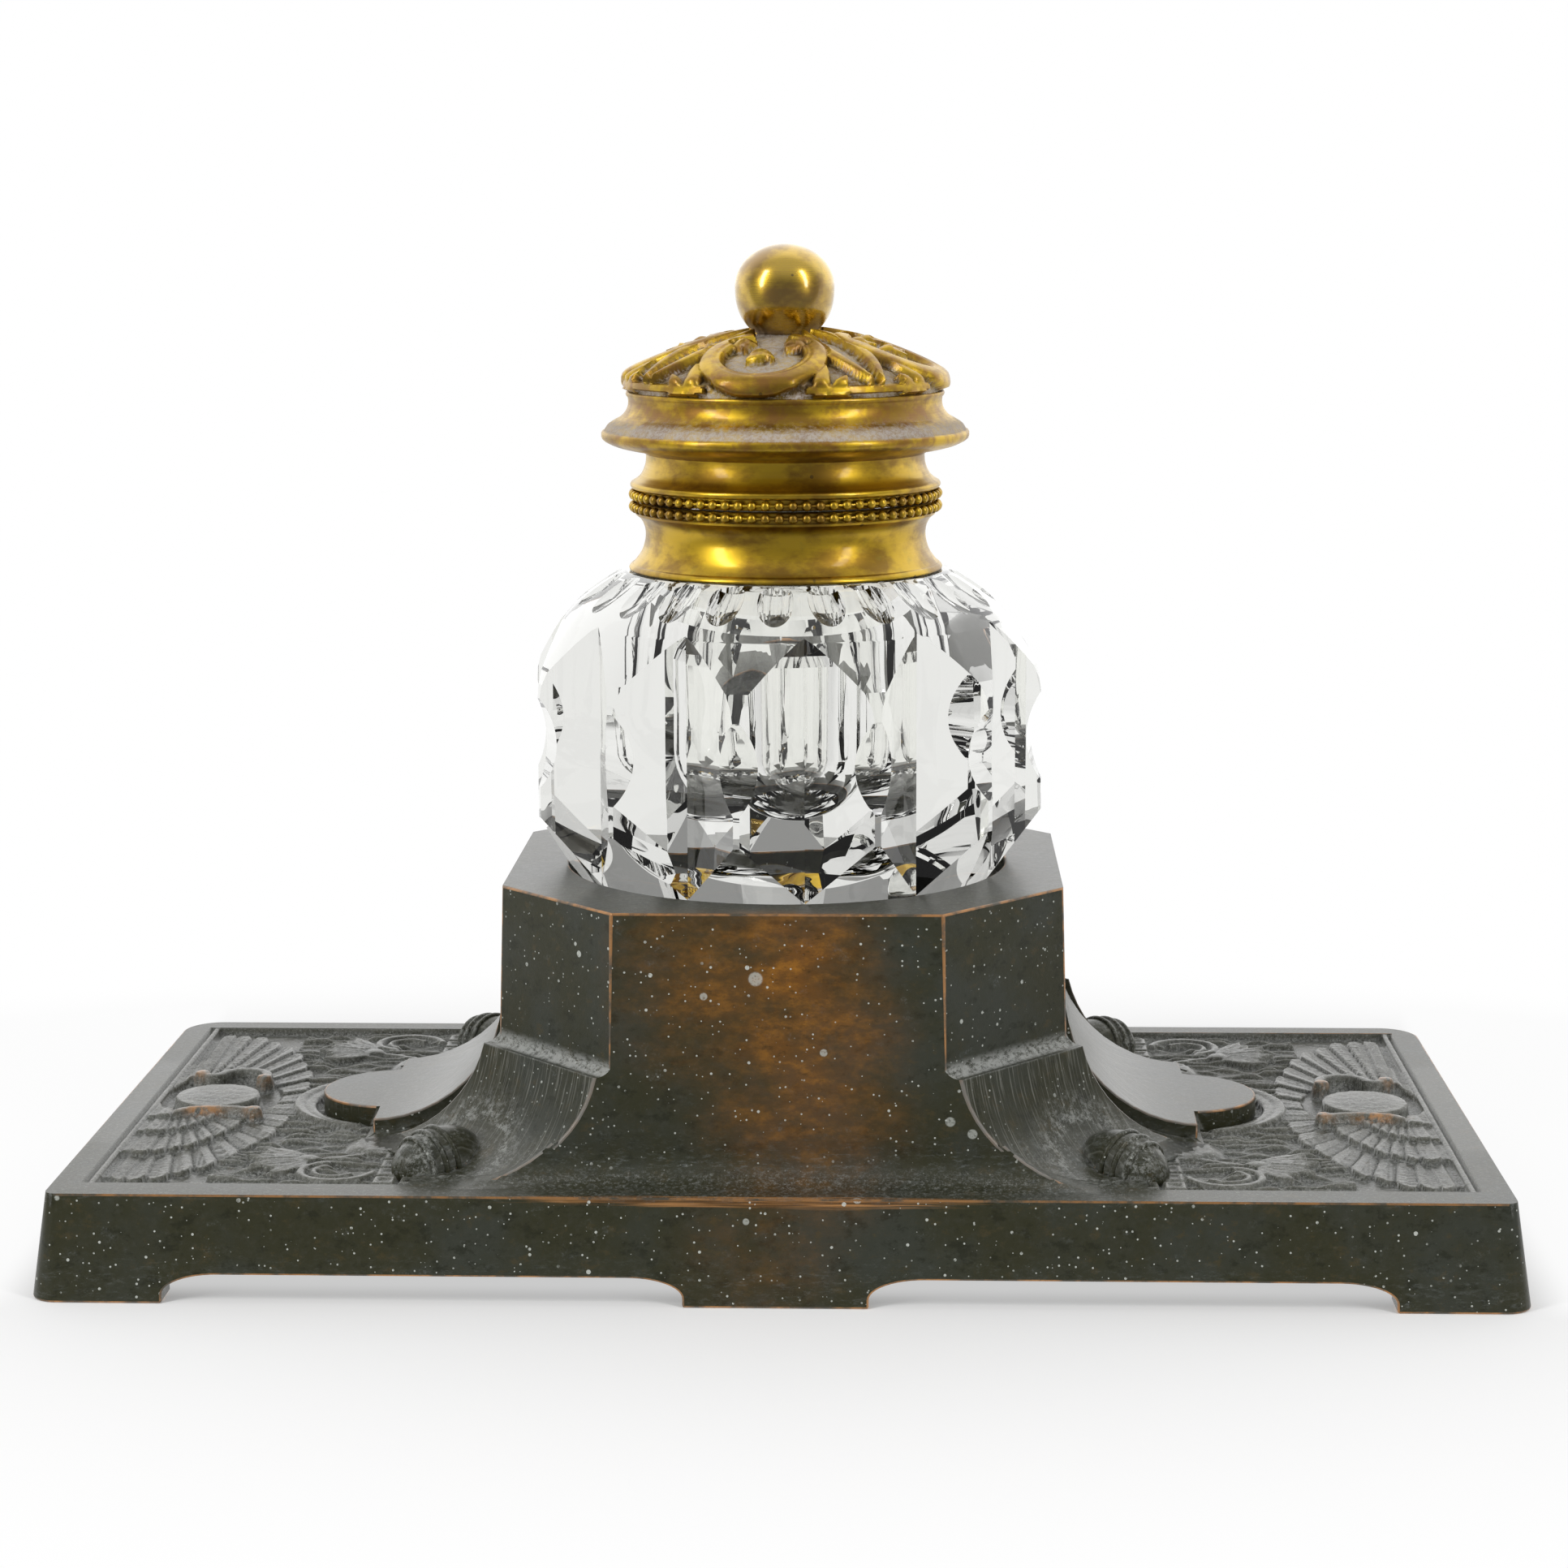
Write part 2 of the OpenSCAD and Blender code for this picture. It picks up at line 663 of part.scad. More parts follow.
// Knuckles along X round the pin, from x0 to x1
module knuckle(x0, x1) {
    translate([x0, hinge_y, hinge_z]) rotate([0, 90, 0]) cylinder(h = x1 - x0, r = knuckle_r);
}

// Flange from the ring wall out to a knuckle
module leaf_flange(x0, x1, z0, z1) {
    difference() {
        translate([x0, 0, z0]) cube([x1 - x0, hinge_y, z1 - z0]);
        translate([0, 0, z0 - over]) cylinder(h = z1 - z0 + 2*over, r = leaf_r);
    }
}

module pin_bore() {
    translate([-far/2, hinge_y, hinge_z]) rotate([0, 90, 0])
        cylinder(h = far, r = pin_r + pin_gap);
}

module collar_hinge_leaf() {
    side_x = lid_knuckle_w/2 + knuckle_gap;
    leaf_z = collar_top - 2*bead_r;
    color(BRASS) difference() {
        union() {
            for (side = [0, 1]) mirror([side, 0, 0]) {
                knuckle(side_x, hinge_w/2);
                leaf_flange(side_x, hinge_w/2, leaf_z, collar_top - fit_gap);
            }
            intersection() {
                leaf_flange(-hinge_w/2, hinge_w/2, leaf_z, leaf_z + bead_r);
                cylinder(h = far, r = leaf_r + leaf_t);
            }
        }
        pin_bore();
    }
}

module hinge_pin() {
    color(BRASS) translate([-hinge_w/2 - 0.3, hinge_y, hinge_z]) rotate([0, 90, 0])
        cylinder(h = hinge_w + 0.6, r = pin_r);
}

module lid_hinge_leaf() {
    color(BRASS) difference() {
        union() {
            knuckle(-lid_knuckle_w/2, lid_knuckle_w/2);
            leaf_flange(-lid_knuckle_w/2, lid_knuckle_w/2, lid_z + fit_gap, lid_z + 2*bead_r);
        }
        pin_bore();
    }
}

// ----------------------------------------------------------------- lid

module lid_bead_ring() {
    color(BRASS) bead_ring(lid_bead_z);
}

module lid_band() {
    z = lid_z;
    h = band_h;
    color(BRASS) rotate_extrude() polygon([
        [lid_bore, z], [rebate_r, z], [rebate_r, z + rebate_h], [collar_rim_r, z + rebate_h],
        [band_swell_r, z + 2.1], [band_swell_r, z + 2.6],
        [band_swell_r - 0.8, z + 3.1], [band_waist_r + 0.4, z + 4.1],
        [band_waist_r, z + 5], [band_waist_r, z + h], [lid_bore, z + h]]);
}

// Ornament cast on the dome: four horseshoes and four pairs of leaves
module dome_ornament() {
    for (i = [0:3]) rotate([0, 0, 90*i]) {
        translate([0, -horseshoe_at, dome_z + dome_rise/2]) rotate([dome_tilt, 0, 0])
            rotate_extrude() translate([horseshoe_r, 0]) circle(r = relief_h, $fn = 24);
        for (side = [-1, 1]) rotate([0, 0, 45 + side*9])
            translate([0, -leaf_at, dome_z + 0.59*dome_rise]) rotate([dome_tilt, 0, 0]) rotate([90, 0, 0])
                rotate_extrude() polygon(
                    [for (k = [0:arc_steps]) let (a = -90 + 180*k/arc_steps)
                        [relief_h*1.5*cos(a), leaf_half*sin(a)]]);
    }
}

module lid_cover() {
    z = cover_z;
    in_r = drum_r - lid_wall;
    in_dome_r = dome_r - lid_wall;
    cove_h = drum_top - dome_edge - 7.2;
    color(BRASS) difference() {
        union() {
            rotate_extrude() polygon(concat([
                [0, z], [band_waist_r, z], [band_waist_r + 1.1, z + 0.5],
                [brim_r - 1.9, z + 1.3], [brim_r - 0.5, z + 1.9], [brim_r, z + 2.6],
                [brim_r, z + 2.6 + brim_t*0.5], [brim_r - 0.3, z + 2.6 + brim_t],
                [brim_r - 1.2, z + 4.9], [drum_r + 1.1, z + 5.7], [drum_r + 0.3, z + 6.4],
                [drum_r, z + 6.6 + 0.2*cove_h], [drum_r, z + 6.6 + 0.7*cove_h],
                [drum_r + 0.3, z + 6.6 + cove_h], [drum_r + 0.3, z + 7.2 + cove_h],
                [drum_r, z + 7.4 + cove_h], [drum_r, z + drum_top]],
                [for (i = [1:arc_steps]) let (a = asin(drum_r/dome_r)*(1 - i/arc_steps))
                    [dome_r*sin(a), dome_top - dome_r*(1 - cos(a))]]));
            dome_ornament();
        }
        // Hollow inside, open downward into the band
        rotate_extrude() polygon(concat([
            [0, z - over], [lid_bore, z - over], [lid_bore, z + 2.4], [in_r, z + 4.5],
            [in_r, dome_z - 0.5]],
            [for (i = [1:arc_steps]) let (a = asin(in_r/in_dome_r)*(1 - i/arc_steps),
                                          top = dome_top - lid_wall)
                [in_dome_r*sin(a), top - in_dome_r*(1 - cos(a))]]));
        // Flat seat for the nut, and the stud's hole
        translate([0, 0, dome_top - lid_wall - over])
            cylinder(h = over, r = nut_r + nut_room);
        cylinder(h = far, r = stud_r + fit_gap);
    }
}

module finial_ball() {
    color(BRASS) difference() {
        translate([0, 0, ball_z]) rotate_extrude() polygon(concat(
            [for (i = [0:arc_steps]) let (a = 90*i/arc_steps, p = 2/ball_power)
                [ball_r*pow(sin(a), p), -ball_drop*pow(cos(a), p)]],
            [for (i = [1:arc_steps]) let (a = 90*i/arc_steps)
                [ball_r*cos(a), ball_rise*sin(a)]]));
        cylinder(h = dome_top, r = far);
        cylinder(h = ball_z, r = stud_r + fit_gap);
    }
}

module finial_stud() {
    foot_z = dome_top - lid_wall - nut_h - stud_end;
    color(BRASS) translate([0, 0, foot_z]) cylinder(h = ball_z - foot_z, r = stud_r);
}

module finial_nut() {
    color(BRASS) translate([0, 0, dome_top - lid_wall - nut_h]) difference() {
        cylinder(h = nut_h, r = nut_r, $fn = 6);
        translate([0, 0, -over]) cylinder(h = nut_h + 2*over, r = stud_r + fit_gap);
    }
}

base_casting();
ink_bottle();
neck_plaster();
collar();
collar_bead_ring();
collar_hinge_leaf();
hinge_pin();
lid_hinge_leaf();
lid_bead_ring();
lid_band();
lid_cover();
finial_ball();
finial_stud();
finial_nut();
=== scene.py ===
import math
from functools import reduce

import bmesh
import bpy
import numpy as np
from mathutils import Matrix, Vector


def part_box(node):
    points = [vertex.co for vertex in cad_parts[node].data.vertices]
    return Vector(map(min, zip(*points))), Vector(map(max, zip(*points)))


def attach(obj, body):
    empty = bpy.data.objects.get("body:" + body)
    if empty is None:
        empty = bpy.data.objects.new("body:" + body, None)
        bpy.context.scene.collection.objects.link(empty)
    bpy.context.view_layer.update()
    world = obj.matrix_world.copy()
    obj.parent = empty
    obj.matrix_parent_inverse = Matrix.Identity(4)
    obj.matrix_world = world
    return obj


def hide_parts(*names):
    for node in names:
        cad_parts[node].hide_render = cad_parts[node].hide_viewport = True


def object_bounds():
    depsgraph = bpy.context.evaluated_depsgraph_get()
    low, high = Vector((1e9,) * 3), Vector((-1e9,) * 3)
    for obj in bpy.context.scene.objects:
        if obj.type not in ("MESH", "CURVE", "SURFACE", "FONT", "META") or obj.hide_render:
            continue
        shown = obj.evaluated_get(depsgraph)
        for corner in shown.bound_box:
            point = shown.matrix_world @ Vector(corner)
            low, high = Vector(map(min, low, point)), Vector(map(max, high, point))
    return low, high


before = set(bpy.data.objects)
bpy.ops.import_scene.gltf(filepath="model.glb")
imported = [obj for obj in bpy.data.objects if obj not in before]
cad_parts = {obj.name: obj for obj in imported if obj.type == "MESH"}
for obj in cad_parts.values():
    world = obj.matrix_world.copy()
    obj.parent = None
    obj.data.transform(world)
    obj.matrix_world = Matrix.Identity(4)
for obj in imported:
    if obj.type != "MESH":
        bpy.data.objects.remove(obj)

CAD_BOX = [list(corner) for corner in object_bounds()]

bl_info = {
    "name": "Desk Inkstand",
    "version": (1, 0, 0),
    "blender": (4, 5, 0),
    "location": "View3D > Sidebar > Inkstand",
    "description": "Dresses the desk inkstand in cast bronze, cut crystal and turned brass",
    "category": "Object",
}

# Lengths are millimetres, except in the settings, and become metres when a mesh is made.
MM = 0.001


def box_mm(node):
    """Lowest and highest corner of a solid of the frame, in millimetres."""
    low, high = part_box(node)
    return [v / MM for v in low], [v / MM for v in high]


BOTTLE_LOW, BOTTLE_HIGH = box_mm("ink_bottle")
COLLAR_LOW, COLLAR_HIGH = box_mm("collar")
BAND_LOW, BAND_HIGH = box_mm("lid_band")
COVER_LOW = box_mm("lid_cover")[0]
BALL_LOW, BALL_HIGH = box_mm("finial_ball")

TRAY_TOP = 15.6            # height of the tray's border
PANEL_Z = 14.4             # floor of the relief panels
TRAY_FRONT = -50.3         # upper front edge of the tray
PANEL_END = 101.2          # outer end of each relief panel, along X
PANEL_FRONT = -44.7
PANEL_BACK = 46.1
PANEL_INNER = 45.0         # the relief runs in under the flares to here
BOSS_X, BOSS_Y = 50.2, 33.4
SOCKET_Z = BOTTLE_LOW[2]   # floor of the block's socket, where the bottle stands
SEAT_Z = COLLAR_LOW[2]     # shoulder of the bottle, where the collar sits


# ------------------------------------------------------------ settings


class BronzeSettings(bpy.types.PropertyGroup):
    patina: bpy.props.FloatVectorProperty(
        name="Patina", description="Dark olive patina of the casting",
        default=(0.029, 0.029, 0.015), subtype="COLOR", min=0, max=1)
    slate: bpy.props.FloatVectorProperty(
        name="Slate", description="Cooler patches in the patina",
        default=(0.034, 0.037, 0.028), subtype="COLOR", min=0, max=1)
    amber: bpy.props.FloatVectorProperty(
        name="Amber", description="Rubbed brown glow on the block's front face",
        default=(0.155, 0.062, 0.010), subtype="COLOR", min=0, max=1)
    copper: bpy.props.FloatVectorProperty(
        name="Copper", description="Bare metal on worn edges",
        default=(0.46, 0.22, 0.075), subtype="COLOR", min=0, max=1)
    dust: bpy.props.FloatVectorProperty(
        name="Dust", description="Pale wax and dust in the hollows",
        default=(0.42, 0.43, 0.41), subtype="COLOR", min=0, max=1)
    edge_wear: bpy.props.FloatProperty(
        name="Edge wear", description="Width of the worn edges",
        default=0.32 * MM, min=0.05 * MM, max=1 * MM, unit="LENGTH")


class ReliefSettings(bpy.types.PropertyGroup):
    grid: bpy.props.FloatProperty(
        name="Grid", description="Spacing of the carved surface",
        default=0.25 * MM, min=0.2 * MM, max=1 * MM, unit="LENGTH")
    feathers: bpy.props.IntProperty(
        name="Feathers", description="Feathers in each quarter fan of the wings",
        default=9, min=5, max=14)
    feather_rise: bpy.props.FloatProperty(
        name="Feather rise", description="Thickness of one tier of feathers",
        default=0.72 * MM, min=0.2 * MM, max=1.2 * MM, unit="LENGTH")


class CrystalSettings(bpy.types.PropertyGroup):
    ior: bpy.props.FloatProperty(
        name="Refraction", description="Index of refraction of the lead crystal",
        default=1.54, min=1.4, max=1.8)
    ridges: bpy.props.IntProperty(
        name="Ridges", description="Cut ridges round the bottle", default=12, min=8, max=16)
    flutes: bpy.props.IntProperty(
        name="Flutes", description="Small scoops cut round the shoulder",
        default=24, min=12, max=32)


class BrassSettings(bpy.types.PropertyGroup):
    metal: bpy.props.FloatVectorProperty(
        name="Brass", description="Colour of the clean brass",
        default=(0.49, 0.315, 0.020), subtype="COLOR", min=0, max=1)
    tarnish: bpy.props.FloatVectorProperty(
        name="Tarnish", description="Brown tarnish on the brass",
        default=(0.19, 0.100, 0.014), subtype="COLOR", min=0, max=1)
    dust: bpy.props.FloatVectorProperty(
        name="Dust", description="Grey dust on the cover",
        default=(0.42, 0.385, 0.355), subtype="COLOR", min=0, max=1)


class StageSettings(bpy.types.PropertyGroup):
    floor: bpy.props.FloatVectorProperty(
        name="Floor", description="Pale floor under the inkstand",
        default=(0.97, 0.97, 0.97), subtype="COLOR", min=0, max=1)
    key_power: bpy.props.FloatProperty(
        name="Softbox power", description="Power of each softbox, in watts",
        default=4.4, min=0, max=100)
    fill: bpy.props.FloatProperty(
        name="Fill", description="Strength of the room's soft light", default=0.56, min=0, max=2)
    lens: bpy.props.FloatProperty(
        name="Lens", description="Focal length of the camera, in millimetres",
        default=75.836, min=20, max=200)


SETTINGS = {
    "inkstand_bronze": BronzeSettings,
    "inkstand_relief": ReliefSettings,
    "inkstand_crystal": CrystalSettings,
    "inkstand_brass": BrassSettings,
    "inkstand_stage": StageSettings,
}


# -------------------------------------------------------- shader maths


class Socket:
    """An output of a shader node that Python's operators work on."""

    def __init__(self, nodes, output):
        self.nodes, self.output = nodes, output

    def math(self, operation, *values):
        return self.nodes.node("ShaderNodeMath", {"operation": operation}, dict(enumerate(values)))

    def __add__(self, other):
        return self.math("ADD", self, other)

    def __sub__(self, other):
        return self.math("SUBTRACT", self, other)

    def __rsub__(self, other):
        return self.math("SUBTRACT", other, self)

    def __mul__(self, other):
        return self.math("MULTIPLY", self, other)

    def __pow__(self, other):
        return self.math("POWER", self, other)

    def __abs__(self):
        return self.math("ABSOLUTE", self)

    __radd__, __rmul__ = __add__, __mul__

    def step(self, low, high):
        """0 below low, 1 above high, and smooth between; low may be the larger."""
        return self.nodes.node(
            "ShaderNodeMapRange", {"interpolation_type": "SMOOTHSTEP"},
            {"Value": self, "From Min": low, "From Max": high, "To Min": 0.0, "To Max": 1.0})

    def most(self, other):
        return self.math("MAXIMUM", self, other)

    def least(self, other):
        return self.math("MINIMUM", self, other)


class Nodes:
    """A node tree that is built from expressions."""

    def __init__(self, tree):
        self.tree = tree

    def feed(self, socket, value):
        """Links a socket, or sets its value."""
        if isinstance(value, Socket):
            self.tree.links.new(value.output, socket)
        elif isinstance(value, (tuple, list)) and len(value) == 3 and len(socket.default_value) == 4:
            socket.default_value = (*value, 1)
        else:
            socket.default_value = value

    def node(self, kind, settings=None, inputs=None, output=0):
        node = self.tree.nodes.new(kind)
        for key, value in (settings or {}).items():
            setattr(node, key, value)
        for key, value in (inputs or {}).items():
            self.feed(node.inputs[key], value)
        return Socket(self, node.outputs[output])

    def split(self, vector):
        """The three coordinates of a vector."""
        first = self.node("ShaderNodeSeparateXYZ", {}, {0: vector})
        return [Socket(self, output) for output in first.output.node.outputs]

    def vector(self, x, y, z):
        return self.node("ShaderNodeCombineXYZ", {}, {0: x, 1: y, 2: z})

    def rays(self):
        """Masks of the rays from the camera, off a mirror and through glass."""
        return [self.node("ShaderNodeLightPath", output=i) for i in (0, 3, 6)]


class Finish(Nodes):
    """A material with one Principled shader."""

    def __init__(self, name, **constants):
        self.material = bpy.data.materials.new(name)
        self.material.use_nodes = True
        super().__init__(self.material.node_tree)
        self.shader = next(n for n in self.tree.nodes if n.type == "BSDF_PRINCIPLED")
        for key, value in constants.items():
            self.shader.inputs[key.replace("_", " ")].default_value = value

    def give(self, **links):
        for key, value in links.items():
            self.feed(self.shader.inputs[key.replace("_", " ")], value)
        return self.material

    def place(self, scale=(1, 1, 1), shift=(0, 0, 0)):
        """Position on the object in millimetres, scaled and shifted."""
        where = self.node("ShaderNodeTexCoord", output=3)
        return self.node("ShaderNodeMapping", {}, {
            "Vector": where, "Scale": tuple(s / MM for s in scale), "Location": shift})

    def painted(self, name):
        """A mask that is stored on the points of the mesh."""
        return self.node("ShaderNodeAttribute", {"attribute_name": name}, output=2)

    def noise(self, scale, detail=4.0, roughness=0.55, stretch=(1, 1, 1), shift=(0, 0, 0), at=None):
        """Noise whose scale is in features for each millimetre."""
        return self.node("ShaderNodeTexNoise", {}, {
            "Vector": at or self.place(stretch, shift), "Scale": scale, "Detail": detail,
            "Roughness": roughness})

    def blend(self, factor, first, second):
        return self.node("ShaderNodeMix", {"data_type": "RGBA"}, {0: factor, 6: first, 7: second}, 2)

    def layers(self, colour, *coats):
        """Lays (mask, tint) pairs over a colour, one after another."""
        for mask, tint in coats:
            colour = self.blend(mask, colour, tint)
        return colour

    def near(self, point, reach, stretch=(1, 1, 1)):
        """1 at a point, falling to 0 at the distance reach, in millimetres."""
        here = self.place(stretch)
        there = tuple(p * s for p, s in zip(point, stretch))
        gap = self.node("ShaderNodeVectorMath", {"operation": "DISTANCE"}, {0: here, 1: there}, 1)
        return gap.step(reach, 0.0)

    def hollow(self, reach):
        """1 deep in a hollow and 0 in the open, from the light that is kept off."""
        open_sky = self.node(
            "ShaderNodeAmbientOcclusion", {"samples": 8, "only_local": True},
            {"Distance": reach * MM}, 1)
        return 1 - open_sky

    def bump(self, height, strength, distance):
        return self.node("ShaderNodeBump", {}, {
            "Height": height, "Strength": strength, "Distance": distance * MM})

    def spots(self, cell, size, spare, shift=(0, 0, 0)):
        """Round spots of up to size millimetres across, in cells of a given size.
        spare is the share of cells without a spot."""
        inputs = {"Vector": self.place(shift=shift), "Scale": 1 / cell}
        gap, tint = (self.node("ShaderNodeTexVoronoi", {"feature": "F1"}, inputs, i) for i in (0, 1))
        chance = self.node("ShaderNodeSeparateColor", {}, {0: tint}, 0)
        radius = chance.step(spare, 1.0) * (size / 2 / cell)
        return (radius - gap).step(0.0, 0.06 * size / cell)


# ------------------------------------------------------------- finishes


# Tints that lie over the colours of the settings
TINT = {
    "mottle": (0.055, 0.055, 0.045), "dark": (0.012, 0.013, 0.007), "brown": (0.062, 0.047, 0.020),
    "ember": (0.36, 0.15, 0.016), "murk": (0.026, 0.018, 0.006), "bevel": (0.10, 0.045, 0.014),
    "smear": (0.22, 0.24, 0.24), "wax": (0.48, 0.50, 0.46), "brushed": (0.26, 0.26, 0.23),
    # On the next line, the first tint is painted shade in the relief's hollows as well as the colour
    # of its dark pits, and the second a painted highlight on its crests
    "shade_and_pit": (0.010, 0.010, 0.008), "crest_highlight": (0.17, 0.17, 0.15), "chalk": (0.38, 0.39, 0.37),
    "dull edge": (0.050, 0.040, 0.024), "flare edge": (0.12, 0.115, 0.10),
    # On the next line, the crust tint is the brass's dark crust in crevices, deepened as painted shade
    "green": (0.25, 0.20, 0.03), "dot": (0.07, 0.045, 0.015), "crust_and_shade": (0.06, 0.042, 0.016),
    # On the next line, the cast pit tint is dirt and painted shade in the cover's hollows
    "rust": (0.20, 0.085, 0.030), "cast pit and shade": (0.05, 0.034, 0.018),
}
FLAT = (1, 0, 1)           # stretch that measures along the front face only
# Middle (x, z), reach and strength of the patches of the front face's glow
GLOW = (((2, 48), 17, 1.0), ((4, 38), 19, 0.85), ((4, 26), 20, 0.6), ((-6, 46), 24, 0.55),
        ((-2, 8), 16, 0.2))
# Cell, size, spare share and shift of each grade of wax specks
SPECKS = ((1.35, 0.50, 0.70, (0, 0, 0)), (2.8, 0.75, 0.66, (7, 3, 1)),
          (6.5, 1.05, 0.60, (3, 8, 2)), (0.8, 0.34, 0.45, (6, 6, 1)))
# Middle (x, z) and reach of the largest drops on the front face
DROPS = (((-3.1, 45.5), 1.3), ((-10.6, 42.9), 0.7), ((6.7, 34.7), 0.7), ((25.0, 24.6), 0.9),
         ((28.2, 22.8), 0.9), ((-4.2, 12.3), 0.6))


def front_glow(f, colour, y):
    """Brown glow rubbed into the middle of the block's front face."""
    glow = reduce(Socket.most, (f.near((at[0], 0, at[1]), reach, FLAT) * strength
                                for at, reach, strength in GLOW))
    soft = f.noise(0.10, 7, 0.62, (1, 1, 1.5), (3, 0, 0)).step(0.22, 0.66)
    glow = glow * y.step(-37.0, -41.0) * (0.20 + 0.95 * soft)
    full = glow.least(1.0)
    bright = glow * f.noise(0.25, 7, 0.7, (1, 1, 1.8), (9, 2, 0)).step(0.42, 0.7)
    murk = f.noise(0.5, 6, 0.7, (1, 1, 2.0), (3, 7, 0)).step(0.54, 0.70)
    return f.layers(colour, (full * 0.75, tuple(bpy.context.scene.inkstand_bronze.amber)),
                    (bright * 0.55, TINT["ember"]), (full * murk * 0.75, TINT["murk"]))


def bare_bevel(f, colour, y):
    """Copper along the middle of the tray's front edge, where hands have rubbed it."""
    streak = f.noise(1.3, 3, 0.5, (0.06, 1, 2.2))
    rubbed = f.near((-4, TRAY_FRONT, TRAY_TOP), 52, (1, 4, 25)) * y.step(-49.0, -50.2)
    rubbed = (rubbed + streak * 0.7 - 0.42).step(0.1, 0.45)
    bare = tuple(bpy.context.scene.inkstand_bronze.copper)
    return f.blend(rubbed * 0.65, colour, f.blend(streak.step(0.35, 0.65), TINT["bevel"], bare))


def wax_masks(f, y, z, up):
    """Masks of the smears and of the specks and drops of old wax."""
    smear = f.noise(0.22, 7, 0.7, (1, 1, 1.5), (20, 5, 0)).step(0.56, 0.74)
    smear = smear * f.noise(2.2, 5, 0.75).step(0.42, 0.7)
    haze = z.step(25.0, 17.5) * z.step(14.0, 16.0) + z.step(9.0, 3.0) * 0.6
    smear = smear.most(haze.least(1.0) * f.noise(1.1, 7, 0.8, (0.5, 0.5, 1.6)).step(0.5, 0.72))
    specks = reduce(Socket.most, (f.spots(*grade) for grade in SPECKS))
    splashed = f.noise(0.10, 3, 0.6, shift=(2, 2, 7)).step(0.30, 0.50)
    specks = specks * splashed * (1 - up.step(0.2, 0.8) * 0.8)
    drops = f.spots(19.0, 2.6, 0.62, (4, 1, 9))
    for at, reach in DROPS:
        drop = f.near((at[0], 0, at[1]), reach, FLAT).step(0.02, 0.25)
        drops = drops.most(drop * y.step(-30.0, -34.0) * 0.9)
    return smear, specks.most(drops * 0.7) * f.noise(3.0, 3, 0.6).step(0.25, 0.5)


def brushed_lines(f, x, y, z, turned):
    """Mask of the fine lines that run down the flares."""
    lines = f.noise(1.0, 5.0, 0.5, at=f.vector(abs(x) * 2.1 - abs(y) * 2.2, z * 0.12, 0.0))
    on_flare = z.step(33.0, 30.5) * z.step(15.8, 17.0) * turned.step(0.2, 0.45)
    return on_flare * lines.step(0.50, 0.75)


def dust_in_hollows(f, z, turned, up):
    """Mask of the dust in hollows, on level faces and on the coves over the flares."""
    hollow = f.hollow(4.0).step(0.2, 0.75) * up.step(-0.1, 0.35)
    dust = hollow * f.noise(0.7, 6, 0.7, shift=(5, 5, 5)).step(0.36, 0.60)
    level = up.step(0.5, 0.9) * f.noise(1.8, 6, 0.8, shift=(2, 9, 9)).step(0.48, 0.70)
    cove = turned.step(0.12, 0.3) * z.step(30.5, 31.1) * z.step(33.6, 31.8)
    cove = cove * f.noise(1.4, 6, 0.8, (0.6, 0.6, 1)).step(0.36, 0.56)
    return dust.most(level * 0.5).most(cove * 0.9)


def dust_round_bosses(f, x, y, z):
    """Mask of the ring of dust round the foot of each boss."""
    gap = f.vector(abs(x) - 47.5, abs(y) - 32.5, z - TRAY_TOP)
    gap = f.node("ShaderNodeVectorMath", {"operation": "LENGTH"}, {0: gap}, 1)
    patchy = f.noise(0.9, 7, 0.85, shift=(4, 2, 2)).step(0.47, 0.60)
    return gap.step(14.0, 6.5) * gap.step(6.5, 8.0) * patchy


def carved_tones(f, colour):
    """Hollows darkened with painted shade and waxy, crests paled with a painted highlight, speckle,
    and ends rubbed to copper.
    """
    s = bpy.context.scene.inkstand_bronze
    low, high = f.painted("hollow"), f.painted("raised")
    wax = low * f.noise(2.6, 5, 0.75).step(0.38, 0.6)
    speckle = f.noise(2.4, 5, 0.85, shift=(1, 4, 2))
    ends = f.painted("rubbed") * f.noise(0.8, 4, 0.6).step(0.35, 0.6)
    # Painted shade darkens the hollows and a painted highlight lightens the crests; the dark speckle
    # is pits
    return f.layers(colour, (low * 0.75, TINT["shade_and_pit"]), (wax * 0.45, tuple(s.dust)),
                    (high * 0.55, TINT["crest_highlight"]), (speckle.step(0.53, 0.66) * 0.55, TINT["chalk"]),
                    (speckle.step(0.48, 0.37) * 0.60, TINT["shade_and_pit"]), (ends * 0.75, tuple(s.copper)))


